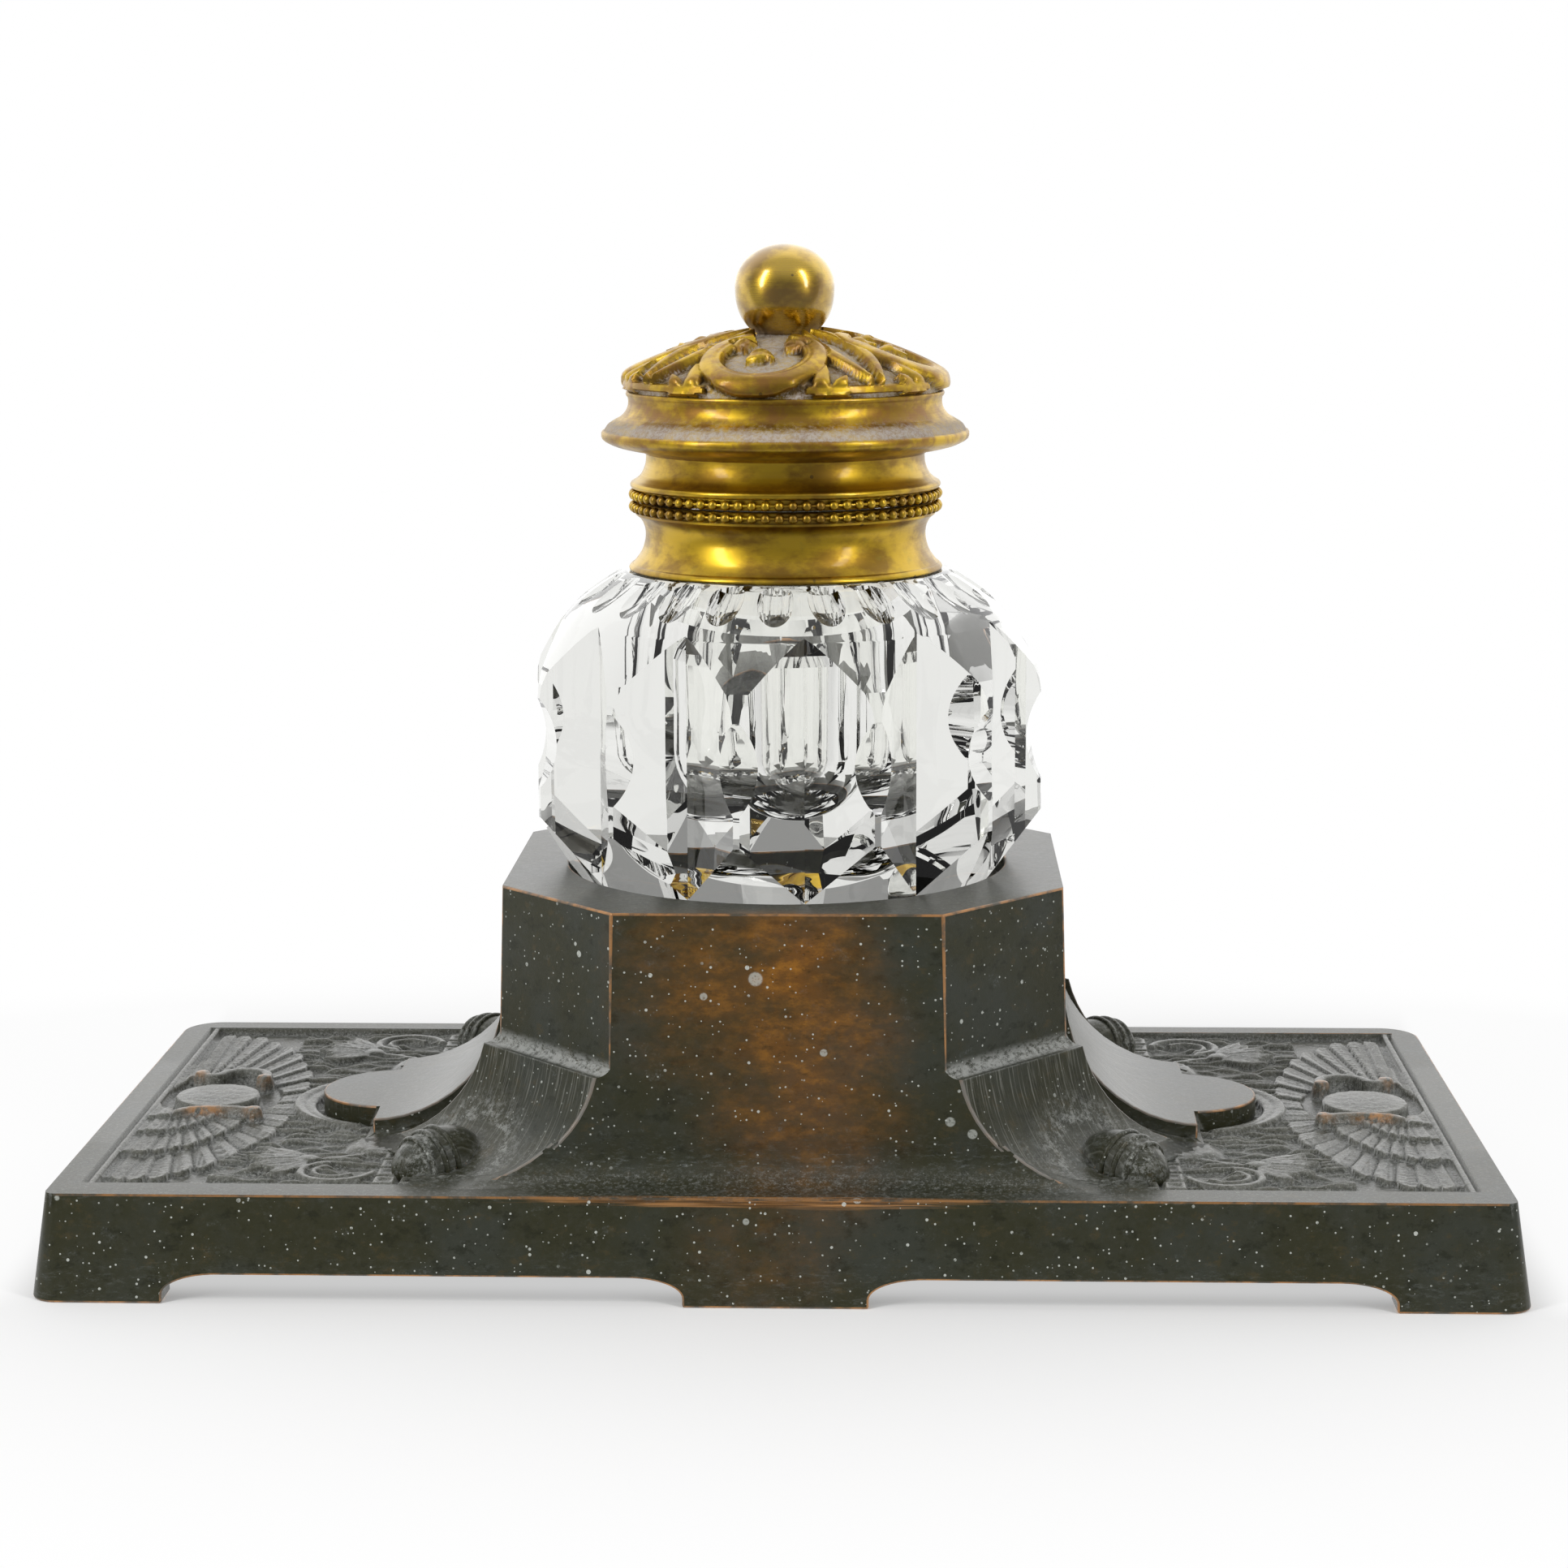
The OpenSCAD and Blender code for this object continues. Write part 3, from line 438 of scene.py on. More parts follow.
def bronze_finish(name, carved=False):
    """Dark patina with cool patches, pale specks and dust; carved adds the relief's own masks."""
    s = bpy.context.scene.inkstand_bronze
    f = Finish(name, Metallic=0.0, Specular_IOR_Level=0.13, Coat_Roughness=0.27)
    x, y, z = f.split(f.place())
    sideways, _, up = f.split(f.node("ShaderNodeNewGeometry", output=1))
    turned = abs(sideways)
    cloudy = f.noise(0.055, 5, 0.62).step(0.42, 0.66)
    mottled = f.noise(0.9, 6, 0.7)
    deep = f.noise(0.30, 6, 0.7, (1, 1, 1.4), (8, 3, 1))
    colour = f.layers(tuple(s.patina), (cloudy, tuple(s.slate)),
                      (mottled.step(0.45, 0.8) * 0.35, TINT["mottle"]),
                      (deep.step(0.52, 0.66) * 0.55, TINT["dark"]),
                      (deep.step(0.44, 0.32) * 0.45, TINT["brown"]))
    colour = bare_bevel(f, front_glow(f, colour, y), y)
    smear, pale = wax_masks(f, y, z, up)
    colour = f.layers(colour, (smear * 0.32, TINT["smear"]), (pale * 0.8, TINT["wax"]),
                      (brushed_lines(f, x, y, z, turned) * 0.45, TINT["brushed"]))
    dust = dust_in_hollows(f, z, turned, up)
    if carved:
        colour = carved_tones(f, colour)
        dulled = f.painted("hollow") * 0.8
    else:
        dust = dust.most(dust_round_bosses(f, x, y, z) * 0.8)
        # The tongues keep more of their sheen than the border and the block's top
        dulled = abs(y).step(22.0, 26.0).most(z.step(45.0, 49.0)) * 0.25
    colour = f.blend(dust * 0.7, colour, tuple(s.dust))
    rough = 0.25 + mottled * 0.18 + smear * 0.1 + dust * 0.3 + pale * 0.25
    sheen = up.step(0.30, 0.85) * (0.30 + mottled * 0.20) * (1 - dulled)
    grit = f.noise(1.6, 6, 0.65) * 0.6 + f.noise(6.0, 4, 0.6) * 0.4
    return f.give(Base_Color=colour, Roughness=rough, Coat_Weight=sheen,
                  Normal=f.bump(grit + pale * 0.4, 0.35, 0.12))


def copper_finish():
    """Edges rubbed through the patina to warm metal, duller along the flares."""
    f = Finish("bronze_worn_edge", Specular_IOR_Level=0.6)
    patch = f.noise(0.28, 6, 0.65, shift=(2, 8, 4)).step(0.36, 0.62)
    fine = f.noise(2.0, 4, 0.6)
    x, _, z = f.split(f.place())
    dull = z.step(34.0, 31.0) * z.step(16.0, 17.2) * abs(x).step(66.0, 61.0)
    shine = patch * (0.45 + fine * 0.5) * (1 - dull * 0.85)
    colour = f.layers(TINT["dull edge"], (dull, TINT["flare edge"]),
                      (shine, tuple(bpy.context.scene.inkstand_bronze.copper)))
    return f.give(Base_Color=colour, Metallic=shine * 0.7, Roughness=0.42 - patch * 0.1,
                  Normal=f.bump(fine, 0.2, 0.08))


def brass_finish(name, turned=True, cast=False, polish=0.0):
    """Old brass: turned adds lathe lines round the axis, cast adds the cover's masks of dust and of
    dirt and painted shade in its hollows.
    """
    s = bpy.context.scene.inkstand_brass
    f = Finish(name, Metallic=1.0, Coat_Roughness=0.11, Coat_IOR=1.9)
    cloud = f.noise(0.11, 6, 0.62, (1, 1, 1.8), (6, 1, 0))
    green = f.noise(0.33, 5, 0.6, shift=(1, 9, 3)).step(0.55, 0.75)
    dots = f.spots(3.6, 0.9, 0.55, (2, 2, 5))
    # Dark crust in crevices, such as between the beads, deepened as painted shade
    crust_and_shade = f.hollow(1.6).step(0.30, 0.85)
    colour = f.layers(tuple(s.metal), (cloud.step(0.40, 0.62) * 0.85, tuple(s.tarnish)),
                      (green * 0.45, TINT["green"]), (dots * 0.7, TINT["dot"]),
                      (crust_and_shade * 0.75, TINT["crust_and_shade"]))
    metallic = 1 - crust_and_shade * 0.35
    rough = 0.26 - polish * 0.6 + cloud * 0.18 + crust_and_shade * 0.25
    coat = (1 - crust_and_shade) * (0.15 + polish * 5.0) * (1 - cloud * 0.5)
    lines = f.noise(0.5, 3, 0.6)
    if turned:
        x, y, z = f.split(f.place())
        lines = f.noise(1.0, 3.0, 0.5, at=f.vector((x * x + y * y) ** 0.5 * 9.0, 0.0, z * 9.0))
        rough = rough + lines.step(0.4, 0.75) * 0.08
    if cast:
        rust = f.noise(0.45, 5, 0.65, shift=(4, 4, 9)).step(0.44, 0.62)
        bare = f.noise(1.5, 7, 0.9).step(0.38, 0.60)
        dusty = (f.painted("settled") * 1.30 - bare * 0.85).most(0.0).least(1.0)
        # Dirt and painted shade darken the cover's hollows
        colour = f.layers(colour, (rust * 0.55, TINT["rust"]),
                          (f.painted("hollow") * 0.8, TINT["cast pit and shade"]), (dusty * 0.85, tuple(s.dust)))
        metallic = (metallic - dusty * 0.9).most(0.0)
        rough = (rough + 0.05 + dusty * 0.5).least(1.0)
        lines = lines + f.noise(3.5, 5, 0.7) * dusty
        coat = coat * (1 - dusty)
    return f.give(Base_Color=colour, Metallic=metallic, Roughness=rough, Coat_Weight=coat,
                  Normal=f.bump(lines, 0.12 - polish * 0.8, 0.06))


def crystal_finish():
    """Clear cut crystal."""
    f = Finish("crystal_clear", Transmission_Weight=1.0, Roughness=0.0,
               IOR=bpy.context.scene.inkstand_crystal.ior)
    tint = f.noise(0.02, 2, 0.5)
    wavy = f.noise(0.055, 1, 0.4)
    return f.give(Base_Color=f.blend(tint, (0.975, 0.985, 0.955), (0.985, 0.98, 0.95)),
                  Normal=f.bump(wavy, 1.0, 0.28))


def plaster_finish():
    """Matt plaster bed between the neck and the collar."""
    f = Finish("plaster_bed", Roughness=0.9)
    grit = f.noise(1.5, 6, 0.7)
    colour = f.blend(grit, (0.62, 0.58, 0.50), (0.80, 0.77, 0.70))
    return f.give(Base_Color=colour, Normal=f.bump(grit, 0.3, 0.1))


FINISHES = {
    "bronze": lambda: bronze_finish("bronze_patina"),
    "carved": lambda: bronze_finish("bronze_carved", carved=True),
    "copper": copper_finish,
    "brass": lambda: brass_finish("brass_turned"),
    "ball": lambda: brass_finish("brass_ball", polish=0.12),
    "plain_brass": lambda: brass_finish("brass_plain", turned=False),
    "cast": lambda: brass_finish("brass_cast", cast=True),
    "crystal": crystal_finish,
    "plaster": plaster_finish,
}
made_finishes = {}


def finish(name):
    if name not in made_finishes:
        made_finishes[name] = FINISHES[name]()
    return made_finishes[name]


# --------------------------------------------------------- mesh helpers


def make_object(name, points, faces, materials, sharp_angle=None):
    """A mesh object from points in millimetres."""
    mesh = bpy.data.meshes.new(name)
    mesh.from_pydata(np.asarray(points, float) * MM, [], faces)
    mesh.validate()
    obj = bpy.data.objects.new(name, mesh)
    bpy.context.scene.collection.objects.link(obj)
    for material in materials:
        mesh.materials.append(finish(material))
    mesh.shade_smooth()
    if sharp_angle is not None:
        mesh.set_sharp_from_angle(angle=math.radians(sharp_angle))
    return obj


def spline(points, per=6):
    """Points on a smooth curve through the given ones."""
    p = np.array([points[0], *points, points[-1]], float)
    curve = []
    for i in range(1, len(p) - 2):
        a, b, c, d = p[i - 1], p[i], p[i + 1], p[i + 2]
        for t in np.linspace(0, 1, per, endpoint=False):
            curve.append(0.5 * (2 * b + (c - a) * t + (2 * a - 5 * b + 4 * c - d) * t**2
                                + (3 * b - a - 3 * c + d) * t**3))
    curve.append(p[-2])
    return [tuple(q) for q in curve]


def lathe(profile, segments=256):
    """Points and faces of a closed profile of (radius, height) turned round the Z axis.
    The profile runs up the outside and down the inside."""
    profile = np.asarray(profile, float)
    angles = np.arange(segments) * 2 * np.pi / segments
    points, rings = [], []
    for r, z in profile:
        start = len(points)
        if r < 1e-6:
            points.append((0, 0, z))
            rings.append([start] * segments)
        else:
            points += [(r * c, r * s, z) for c, s in zip(np.cos(angles), np.sin(angles))]
            rings.append(range(start, start + segments))
    faces = []
    for low, high in zip(rings, [*rings[1:], rings[0]]):
        for i in range(segments):
            j = (i + 1) % segments
            loop = list(dict.fromkeys((low[i], low[j], high[j], high[i])))
            if len(loop) > 2:
                faces.append(loop)
    return points, faces


def baked(obj):
    """Applies an object's modifiers to its mesh."""
    evaluated = obj.evaluated_get(bpy.context.evaluated_depsgraph_get())
    mesh = bpy.data.meshes.new_from_object(evaluated)
    old = obj.data
    obj.modifiers.clear()
    obj.data = mesh
    bpy.data.meshes.remove(old)
    return obj


def cut(obj, cutter, operation):
    modifier = obj.modifiers.new("cut", "BOOLEAN")
    modifier.operation, modifier.object, modifier.solver = operation, cutter, "EXACT"
    baked(obj)
    tool = cutter.data
    bpy.data.objects.remove(cutter)
    bpy.data.meshes.remove(tool)


def prism(outline, low, high):
    """Points and faces of an upright prism over an outline."""
    n = len(outline)
    points = [(x, y, z) for z in (low, high) for x, y in outline]
    faces = [[i, (i + 1) % n, n + (i + 1) % n, n + i] for i in range(n)]
    return points, [list(range(n))[::-1], list(range(n, 2 * n)), *faces]


def tube(centre, axis, radius, length, steps=48):
    """Points and faces of a round bar."""
    turn = Vector((0, 0, 1)).rotation_difference(Vector(axis)).to_matrix()
    outline = [(radius * math.cos(a), radius * math.sin(a))
               for a in np.arange(steps) * 2 * math.pi / steps]
    points, faces = prism(outline, -length / 2, length / 2)
    return [tuple(turn @ Vector(p) + Vector(centre)) for p in points], faces


def ball_grid(rings, segments):
    """Points and faces of a unit ball."""
    angles = np.linspace(-math.pi / 2, math.pi / 2, rings)
    outline = [(max(0.0, math.cos(a)) if 0 < i < rings - 1 else 0.0, math.sin(a))
               for i, a in enumerate(angles)]
    points, faces = lathe(outline, segments)
    return np.array(points), faces


def gather(parts):
    """Joins several (points, faces) into one."""
    points, faces = [], []
    for p, f in parts:
        shift = len(points)
        points += [tuple(q) for q in p]
        faces += [[i + shift for i in face] for face in f]
    return points, faces


def place_piece(obj, body, slot, *nodes):
    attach(obj, body)
    if nodes:
        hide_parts(*nodes)
    return obj


# -------------------------------------------------------- carved relief


def rise(inside, width):
    """0 outside an outline and 1 inside it, with a soft slope of a given width."""
    t = np.clip(inside / width + 0.5, 0, 1)
    return t * t * (3 - 2 * t)


def over(height, mask, top):
    """Lays a form of a given top height over a surface."""
    return height * (1 - mask) + top * mask


def grain(x, y, cell, seed):
    """Smooth random values from -1 to 1 with features about a cell across."""
    rng = np.random.default_rng(seed)
    table = rng.uniform(-1, 1, (97, 97))
    u, v = x / cell, y / cell
    i, j = np.floor(u).astype(int), np.floor(v).astype(int)
    fu, fv = u - i, v - j
    fu, fv = fu * fu * (3 - 2 * fu), fv * fv * (3 - 2 * fv)
    a, b = table[i % 97, j % 97], table[(i + 1) % 97, j % 97]
    c, d = table[i % 97, (j + 1) % 97], table[(i + 1) % 97, (j + 1) % 97]
    return (a * (1 - fu) + b * fu) * (1 - fv) + (c * (1 - fu) + d * fu) * fv


def blurred(height, reach):
    """Box blur of a height table, run twice."""
    for _ in range(2):
        for axis in (0, 1):
            pad = [(reach, reach) if a == axis else (0, 0) for a in (0, 1)]
            total = np.cumsum(np.pad(height, pad, mode="edge"), axis=axis)
            total = np.insert(total, 0, 0, axis=axis)
            n = 2 * reach + 1
            size = height.shape[axis]
            height = (np.take(total, range(n, n + size), axis)
                      - np.take(total, range(size), axis)) / n
    return height


FAN_X = 96.0               # the fans of feathers spread from this point on the X axis
FAN_IN, FAN_LONG = 19.2, 42.3
DISC_X = 90.4              # middle of the disc between the wings
TIP_X = 62.3               # middle of the tongue's rounded tip


def wings(x, y, height, settings):
    """Two fans of feathers in tiers, one to the front and one to the back."""
    thick = settings.feather_rise / MM
    a = np.maximum(FAN_X - x, 0)
    b = np.abs(y)
    turn = np.degrees(np.arctan2(a / FAN_IN, b / FAN_LONG))
    reach = np.hypot(a / FAN_IN, b / FAN_LONG) + 1e-6
    scale = np.hypot(a, b) / reach
    front = y < 0
    # Reach to the front and to the back, shift by part of a feather, and level of each tier
    tiers = [(1.0, 1.0, 0.0, 0.45), (0.69, 0.55, 0.5, 1.2), (0.45, 0.32, 0.0, 1.75),
             (0.27, 0.2, 0.5, 2.1)]
    pitch = 90 / settings.feathers
    for k, (front_end, back_end, shift, level) in enumerate(tiers):
        end = np.where(front, front_end, back_end)
        count = turn / pitch + shift
        across = np.where(a > 0, count - np.floor(count), np.clip((x - FAN_X) / 4.3 + 0.5, 0, 1))
        number = np.floor(count)
        centred = 2 * across - 1
        tip = end * (1 - 0.05 * np.abs(centred)**3 + 0.012 * np.sin(number * 2.3 + k))
        inside = rise((tip - reach) * scale, 0.42)
        width = pitch * math.pi / 180 * scale * reach
        edge = np.minimum(across, 1 - across) * width
        seam = np.exp(-(edge / 0.22)**2)
        quill = np.exp(-(((across - 0.5) * width) / 0.2)**2)
        barbs = np.sin((reach * scale + np.abs(centred) * width * 0.8) * 2 * math.pi / 0.85)
        top = thick * (level + 0.75 * np.clip(reach / end, 0, 1)**2)
        top = top + 0.34 * (across - 0.5) - 0.50 * seam + 0.12 * quill + 0.04 * barbs
        height = over(height, inside, top)
    return height


def path_gap(x, y, path):
    """Distance to a line through a list of points."""
    gap = np.full(x.shape, 99.0)
    for (ax, ay), (bx, by) in zip(path, path[1:]):
        ux, uy = bx - ax, by - ay
        t = np.clip(((x - ax) * ux + (y - ay) * uy) / (ux * ux + uy * uy), 0, 1)
        gap = np.minimum(gap, np.hypot(x - ax - t * ux, y - ay - t * uy))
    return gap


# Middle lines of the two ridges, measured from the disc's middle
BACK_RIDGE = [(-5.6, 9.6), (-5.7, 11.6), (-4.4, 13.6), (-1.8, 14.3), (0.6, 13.4), (2.0, 11.2),
              (3.4, 10.6), (4.9, 11.8)]
FRONT_RIDGE = [(4.2, -10.0), (2.6, -8.5), (-1.0, -7.9), (-4.6, -8.1), (-7.4, -8.9)]


def winged_disc(x, y, height):
    """The smooth disc between the wings, with a curled ridge behind it and one in front."""
    dx, dy = x - DISC_X, y
    height = over(height, rise(9.2 - np.hypot(dx * 0.98, (dy - 3.0) * 0.76), 0.6), 0.12)
    ridges = ((BACK_RIDGE, 0.95, 2.6, (0, -1)), (FRONT_RIDGE, 0.85, 2.5, (-1,)))
    for path, half, top, knobs in ridges:
        gap = path_gap(dx, dy, spline(path, 5))
        height = over(height, rise(half - gap, 0.35), top - 0.3 * (gap / half)**2)
        for i in knobs:
            knob = np.hypot(dx - path[i][0], dy - path[i][1])
            crown = top + 0.2 - 0.15 * knob**2
            height = np.maximum(height, over(height, rise(1.35 - knob, 0.5), crown))
    return over(height, rise(6.7 - np.hypot(dx, dy), 0.4), 2.3 - 0.006 * (dx**2 + dy**2))


def tongue_leaf(x, y, height):
    """Crescent leaf that wraps the tongue's tip."""
    away = np.hypot(x - TIP_X, y)
    angle = np.degrees(np.arctan2(y, x - TIP_X))
    half = 1.75 * np.sqrt(np.clip(1 - (angle / 78)**2, 0, 1))
    across = away - 13.9
    crown = 1.35 + 0.12 * across
    height = over(height, rise(half - np.abs(across), 0.5), crown)
    vein = np.exp(-(across / 0.28)**2) * (half > 0.5)
    return height - 0.18 * vein


def lotus(x, y, height, at_x, at_y, turn, size, petals):
    """Open lotus: petals that spread from a point, over a stem and a cup."""
    c, s = math.cos(math.radians(turn)), math.sin(math.radians(turn))
    u = ((x - at_x) * c + (y - at_y) * s) / size
    v = (-(x - at_x) * s + (y - at_y) * c) / size
    stem = 0.55 - np.abs(v + 0.02 * u * u)
    height = over(height, rise(np.minimum(stem, np.minimum(-u, u + 9)) * size, 0.4), 0.85)
    for i in sorted(range(petals), key=lambda k: -abs(k - (petals - 1) / 2)):
        spread = math.radians((i - (petals - 1) / 2) * 96 / (petals - 1))
        pu = u * math.cos(spread) + v * math.sin(spread)
        pv = -u * math.sin(spread) + v * math.cos(spread)
        long = 9.5 if i % 2 == 0 else 8.2
        t = np.clip(pu / long, 0, 1)
        half = 1.75 * np.sin(np.pi * t**0.85) ** 0.8 + 0.1
        inside = np.where((pu > 0) & (pu < long), half - np.abs(pv), -1) * size
        level = 0.75 + 0.55 * (1 - abs(i - (petals - 1) / 2) / petals) + 0.25 * t
        vein = 0.16 * np.exp(-(pv / 0.22)**2)
        groove = 0.10 * np.exp(-((half - np.abs(pv) - 0.3) / 0.2)**2)
        height = over(height, rise(inside, 0.35), level + vein - groove)
    cup = 1.5 - np.hypot(u * 0.8, v)
    return over(height, rise(cup * size, 0.5), 1.35 - 0.1 * (u * u + v * v))


def scroll(x, y, height, at_x, at_y, radius, start, sweep, width=1.0, top=1.1):
    """Raised band that curls along a spiral; sweep is in degrees."""
    angle = np.degrees(np.arctan2(y - at_y, x - at_x))
    away = np.hypot(x - at_x, y - at_y)
    along = ((angle - start) * np.sign(sweep)) % 360 / abs(sweep)
    line = radius * (1 - 0.45 * along)
    inside = np.minimum(width / 2 - np.abs(away - line), (1 - along) * radius)
    return over(height, rise(inside, 0.4), top - 0.4 * ((away - line) / width)**2)


def bricks(x, y, height, x0, x1, y0, y1, across, down):
    """Rows of small raised tablets."""
    u = (x - x0) / (x1 - x0) * across
    v = (y - y0) / (y1 - y0) * down
    inside = (u > 0) & (u < across) & (v > 0) & (v < down)
    fu, fv = u - np.floor(u), v - np.floor(v)
    wide, tall = (x1 - x0) / across, (y1 - y0) / down
    edge = np.minimum(np.minimum(fu, 1 - fu) * wide, np.minimum(fv, 1 - fv) * tall) - 0.35
    mask = np.where(inside, rise(edge, 0.4), 0)
    dish = 0.95 - 0.3 * rise(edge - 0.7, 0.5)
    return over(height, mask, dish)


def fringe(x, y, height):
    """Lotus, scrolls and tablets between the wings and the block, front and back alike."""
    side = np.abs(y)
    wave = side * 2 * np.pi / 1.9 + 2.6 * grain(x, side, 6.0, 31) + 0.10 * x
    broken = np.clip(0.55 + grain(x * 0.45, side, 1.6, 32), 0, 1)
    height = np.maximum(height, (0.95 * (0.5 + 0.5 * np.sin(wave)) * broken) * (x < 84))
    height = scroll(x, side, height, 66.0, 36.5, 6.4, 170, -250, 1.3, 1.15)
    height = scroll(x, side, height, 66.0, 36.5, 3.7, 150, -220, 1.0, 1.05)
    height = bricks(x, side, height, 51.5, 59.5, 22.8, 43.4, 2, 5)
    height = scroll(x, side, height, 60.5, 24.5, 4.4, 200, -190, 1.1, 1.0)
    height = lotus(x, side, height, 70.4, 31.2, 14, 0.98, 7)
    return height


def relief_height(x, y, settings):
    """Height of the carved panel above its floor, for distance x from the middle."""
    height = 0.05 * grain(x, y, 1.1, 3) + 0.05 * grain(x, y, 0.45, 4)
    height = fringe(x, y, height)
    height = wings(x, y, height, settings)
    # Low bank that the foot of each flare runs out on
    bank = rise(5.2 - np.hypot(x - 60.5, np.abs(y) - 23.2), 3.0)
    bank = bank * (1.22 + 0.08 * grain(x, y, 0.9, 7))
    height = tongue_leaf(x, y, np.maximum(height, bank))
    height = winged_disc(x, y, height)
    # Groove and fillet beside the border at the tray's end
    height = over(height, rise(x - 99.35, 0.3), -0.1)
    height = over(height, rise(0.5 - np.abs(x - 99.95), 0.3), 1.1)
    height = height + 0.035 * grain(x, y, 0.6, 5) + 0.02 * grain(x, y, 0.28, 6)
    # Soft walls up to the borders
    rim = np.maximum(np.maximum(x - PANEL_END + 0.35, PANEL_FRONT + 0.35 - y),
                     y - PANEL_BACK + 0.35)
    return over(height, rise(rim, 0.5), TRAY_TOP - PANEL_Z - 0.02)


def rubbed_mask(x, y, height):
    """Where hands have rubbed the relief down to bare metal."""
    disc = np.exp(-(((x - DISC_X - 0.8) / 3.2)**2 + ((y + 8.6) / 1.5)**2))
    knobs = sum(np.exp(-(((x - DISC_X - kx) / 1.2)**2 + ((y - ky) / 1.2)**2))
                for kx, ky in (BACK_RIDGE[0], BACK_RIDGE[-1], FRONT_RIDGE[-1]))
    return np.clip(disc + knobs, 0, 1) * (height > 1.2)


def add_field(mesh, name, values):
    layer = mesh.attributes.new(name, "FLOAT", "POINT")
    layer.data.foreach_set("value", np.asarray(values, np.float32).ravel())


def build_relief(name, side):
    """One carved panel; side is 1 for the right end of the tray and -1 for the left."""
    settings = bpy.context.scene.inkstand_relief
    step = settings.grid / MM
    xs = np.arange(PANEL_INNER, PANEL_END + step / 2, step)
    ys = np.arange(PANEL_FRONT, PANEL_BACK + step / 2, step)
    x, y = np.meshgrid(xs, ys, indexing="ij")
    height = relief_height(x, y, settings)
    soft = blurred(height, 5)
    # The hollow mask carries painted shade as well as wax, and the raised mask a painted highlight
    masks = {"hollow": np.clip((soft - height) * 3.4, 0, 1),
             "raised": np.clip((height - soft) * 2.8, 0, 1),
             "rubbed": rubbed_mask(x, y, height)}
    points = np.stack([side * x, y, PANEL_Z + height], -1).reshape(-1, 3)
    nx, ny = len(xs), len(ys)
    index = np.arange(nx * ny).reshape(nx, ny)
    quads = np.stack([index[:-1, :-1], index[1:, :-1], index[1:, 1:], index[:-1, 1:]], -1)
    # Nothing is carved under the tongue's root
    hidden = (x < 55) & (np.abs(y) < 19)
    keep = ~(hidden[:-1, :-1] & hidden[1:, 1:])
    quads = quads[keep]
    if side < 0:
        quads = quads[:, ::-1]
    used = np.unique(quads)
    renumber = np.zeros(nx * ny, int)
    renumber[used] = np.arange(len(used))
    obj = make_object(name, points[used], renumber[quads].tolist(), ["carved"])
    for field, values in masks.items():
        add_field(obj.data, field, values.ravel()[used])
    return place_piece(obj, "base", "bronze")


# --------------------------------------------------------- base casting


def in_panel(vertex):
    """Whether a vertex of the casting belongs to the floor or a wall of a relief panel."""
    x, y, z = (c / MM for c in vertex.co)
    return (50 < abs(x) < PANEL_END + 0.01 and PANEL_FRONT - 0.01 < y < PANEL_BACK + 0.01
            and PANEL_Z - 0.01 < z < 18.5)


def panel_faces(bm):
    """Faces of the casting that the carved panels take the place of."""
    faces = []
    for face in bm.faces:
        middle = face.calc_center_median() / MM
        level = face.normal.z > 0.9 and abs(middle.z - PANEL_Z) < 0.02
        if (level or abs(middle.x) > 74) and all(in_panel(v) for v in face.verts):
            faces.append(face)
    return faces


def is_worn(edge):
    """Whether an edge of the casting stands out enough to be rubbed bare."""
    if len(edge.link_faces) != 2 or not edge.is_convex or edge.calc_length() < 0.25 * MM:
        return False
    first, second = (v.co for v in edge.verts)
    x, y, z = (abs(c) for c in (first + second) / 2 / MM)
    level = abs(first.z - second.z) < 0.5 * MM
    underside = z < 0.2 and x < 100 and y < 47
    cove_or_socket = level and 20 < z < 40 or abs(z - SOCKET_Z) < 0.1
    tongue_root = z > 33 and x > 41 and y < 20
    beside_relief = z < TRAY_TOP + 0.8 and 46 < x < 76 and y < 48
    if underside or cove_or_socket or tongue_root or beside_relief:
        return False
    return edge.calc_face_angle(0) > math.radians(32)


def build_base():
    """The casting's own form, with worn edges and room for the carved panels."""
    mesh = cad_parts["base_casting"].data.copy()
    mesh.name = "bronze_base"
    bm = bmesh.new()
    bm.from_mesh(mesh)
    bmesh.ops.remove_doubles(bm, verts=bm.verts, dist=0.004 * MM)
    bmesh.ops.dissolve_degenerate(bm, edges=bm.edges, dist=0.002 * MM)
    bmesh.ops.delete(bm, geom=panel_faces(bm), context="FACES")
    bmesh.ops.dissolve_limit(bm, angle_limit=math.radians(0.3), verts=bm.verts, edges=bm.edges)
    worn = [edge for edge in bm.edges if is_worn(edge)]
    for material in ("bronze", "copper"):
        mesh.materials.append(finish(material))
    while len(mesh.materials) > 2:
        mesh.materials.pop(index=0)
    for face in bm.faces:
        face.material_index = 0
    bmesh.ops.bevel(bm, geom=worn, offset=bpy.context.scene.inkstand_bronze.edge_wear,
                    segments=2, profile=0.5, affect="EDGES", clamp_overlap=False, material=1)
    bm.to_mesh(mesh)
    bm.free()
    mesh.shade_smooth()
    mesh.set_sharp_from_angle(angle=math.radians(28))
    obj = bpy.data.objects.new("bronze_base", mesh)
    bpy.context.scene.collection.objects.link(obj)
    even = obj.modifiers.new("even", "WEIGHTED_NORMAL")
    even.keep_sharp, even.weight = True, 100
    baked(obj)
    return place_piece(obj, "base", "bronze", "base_casting")


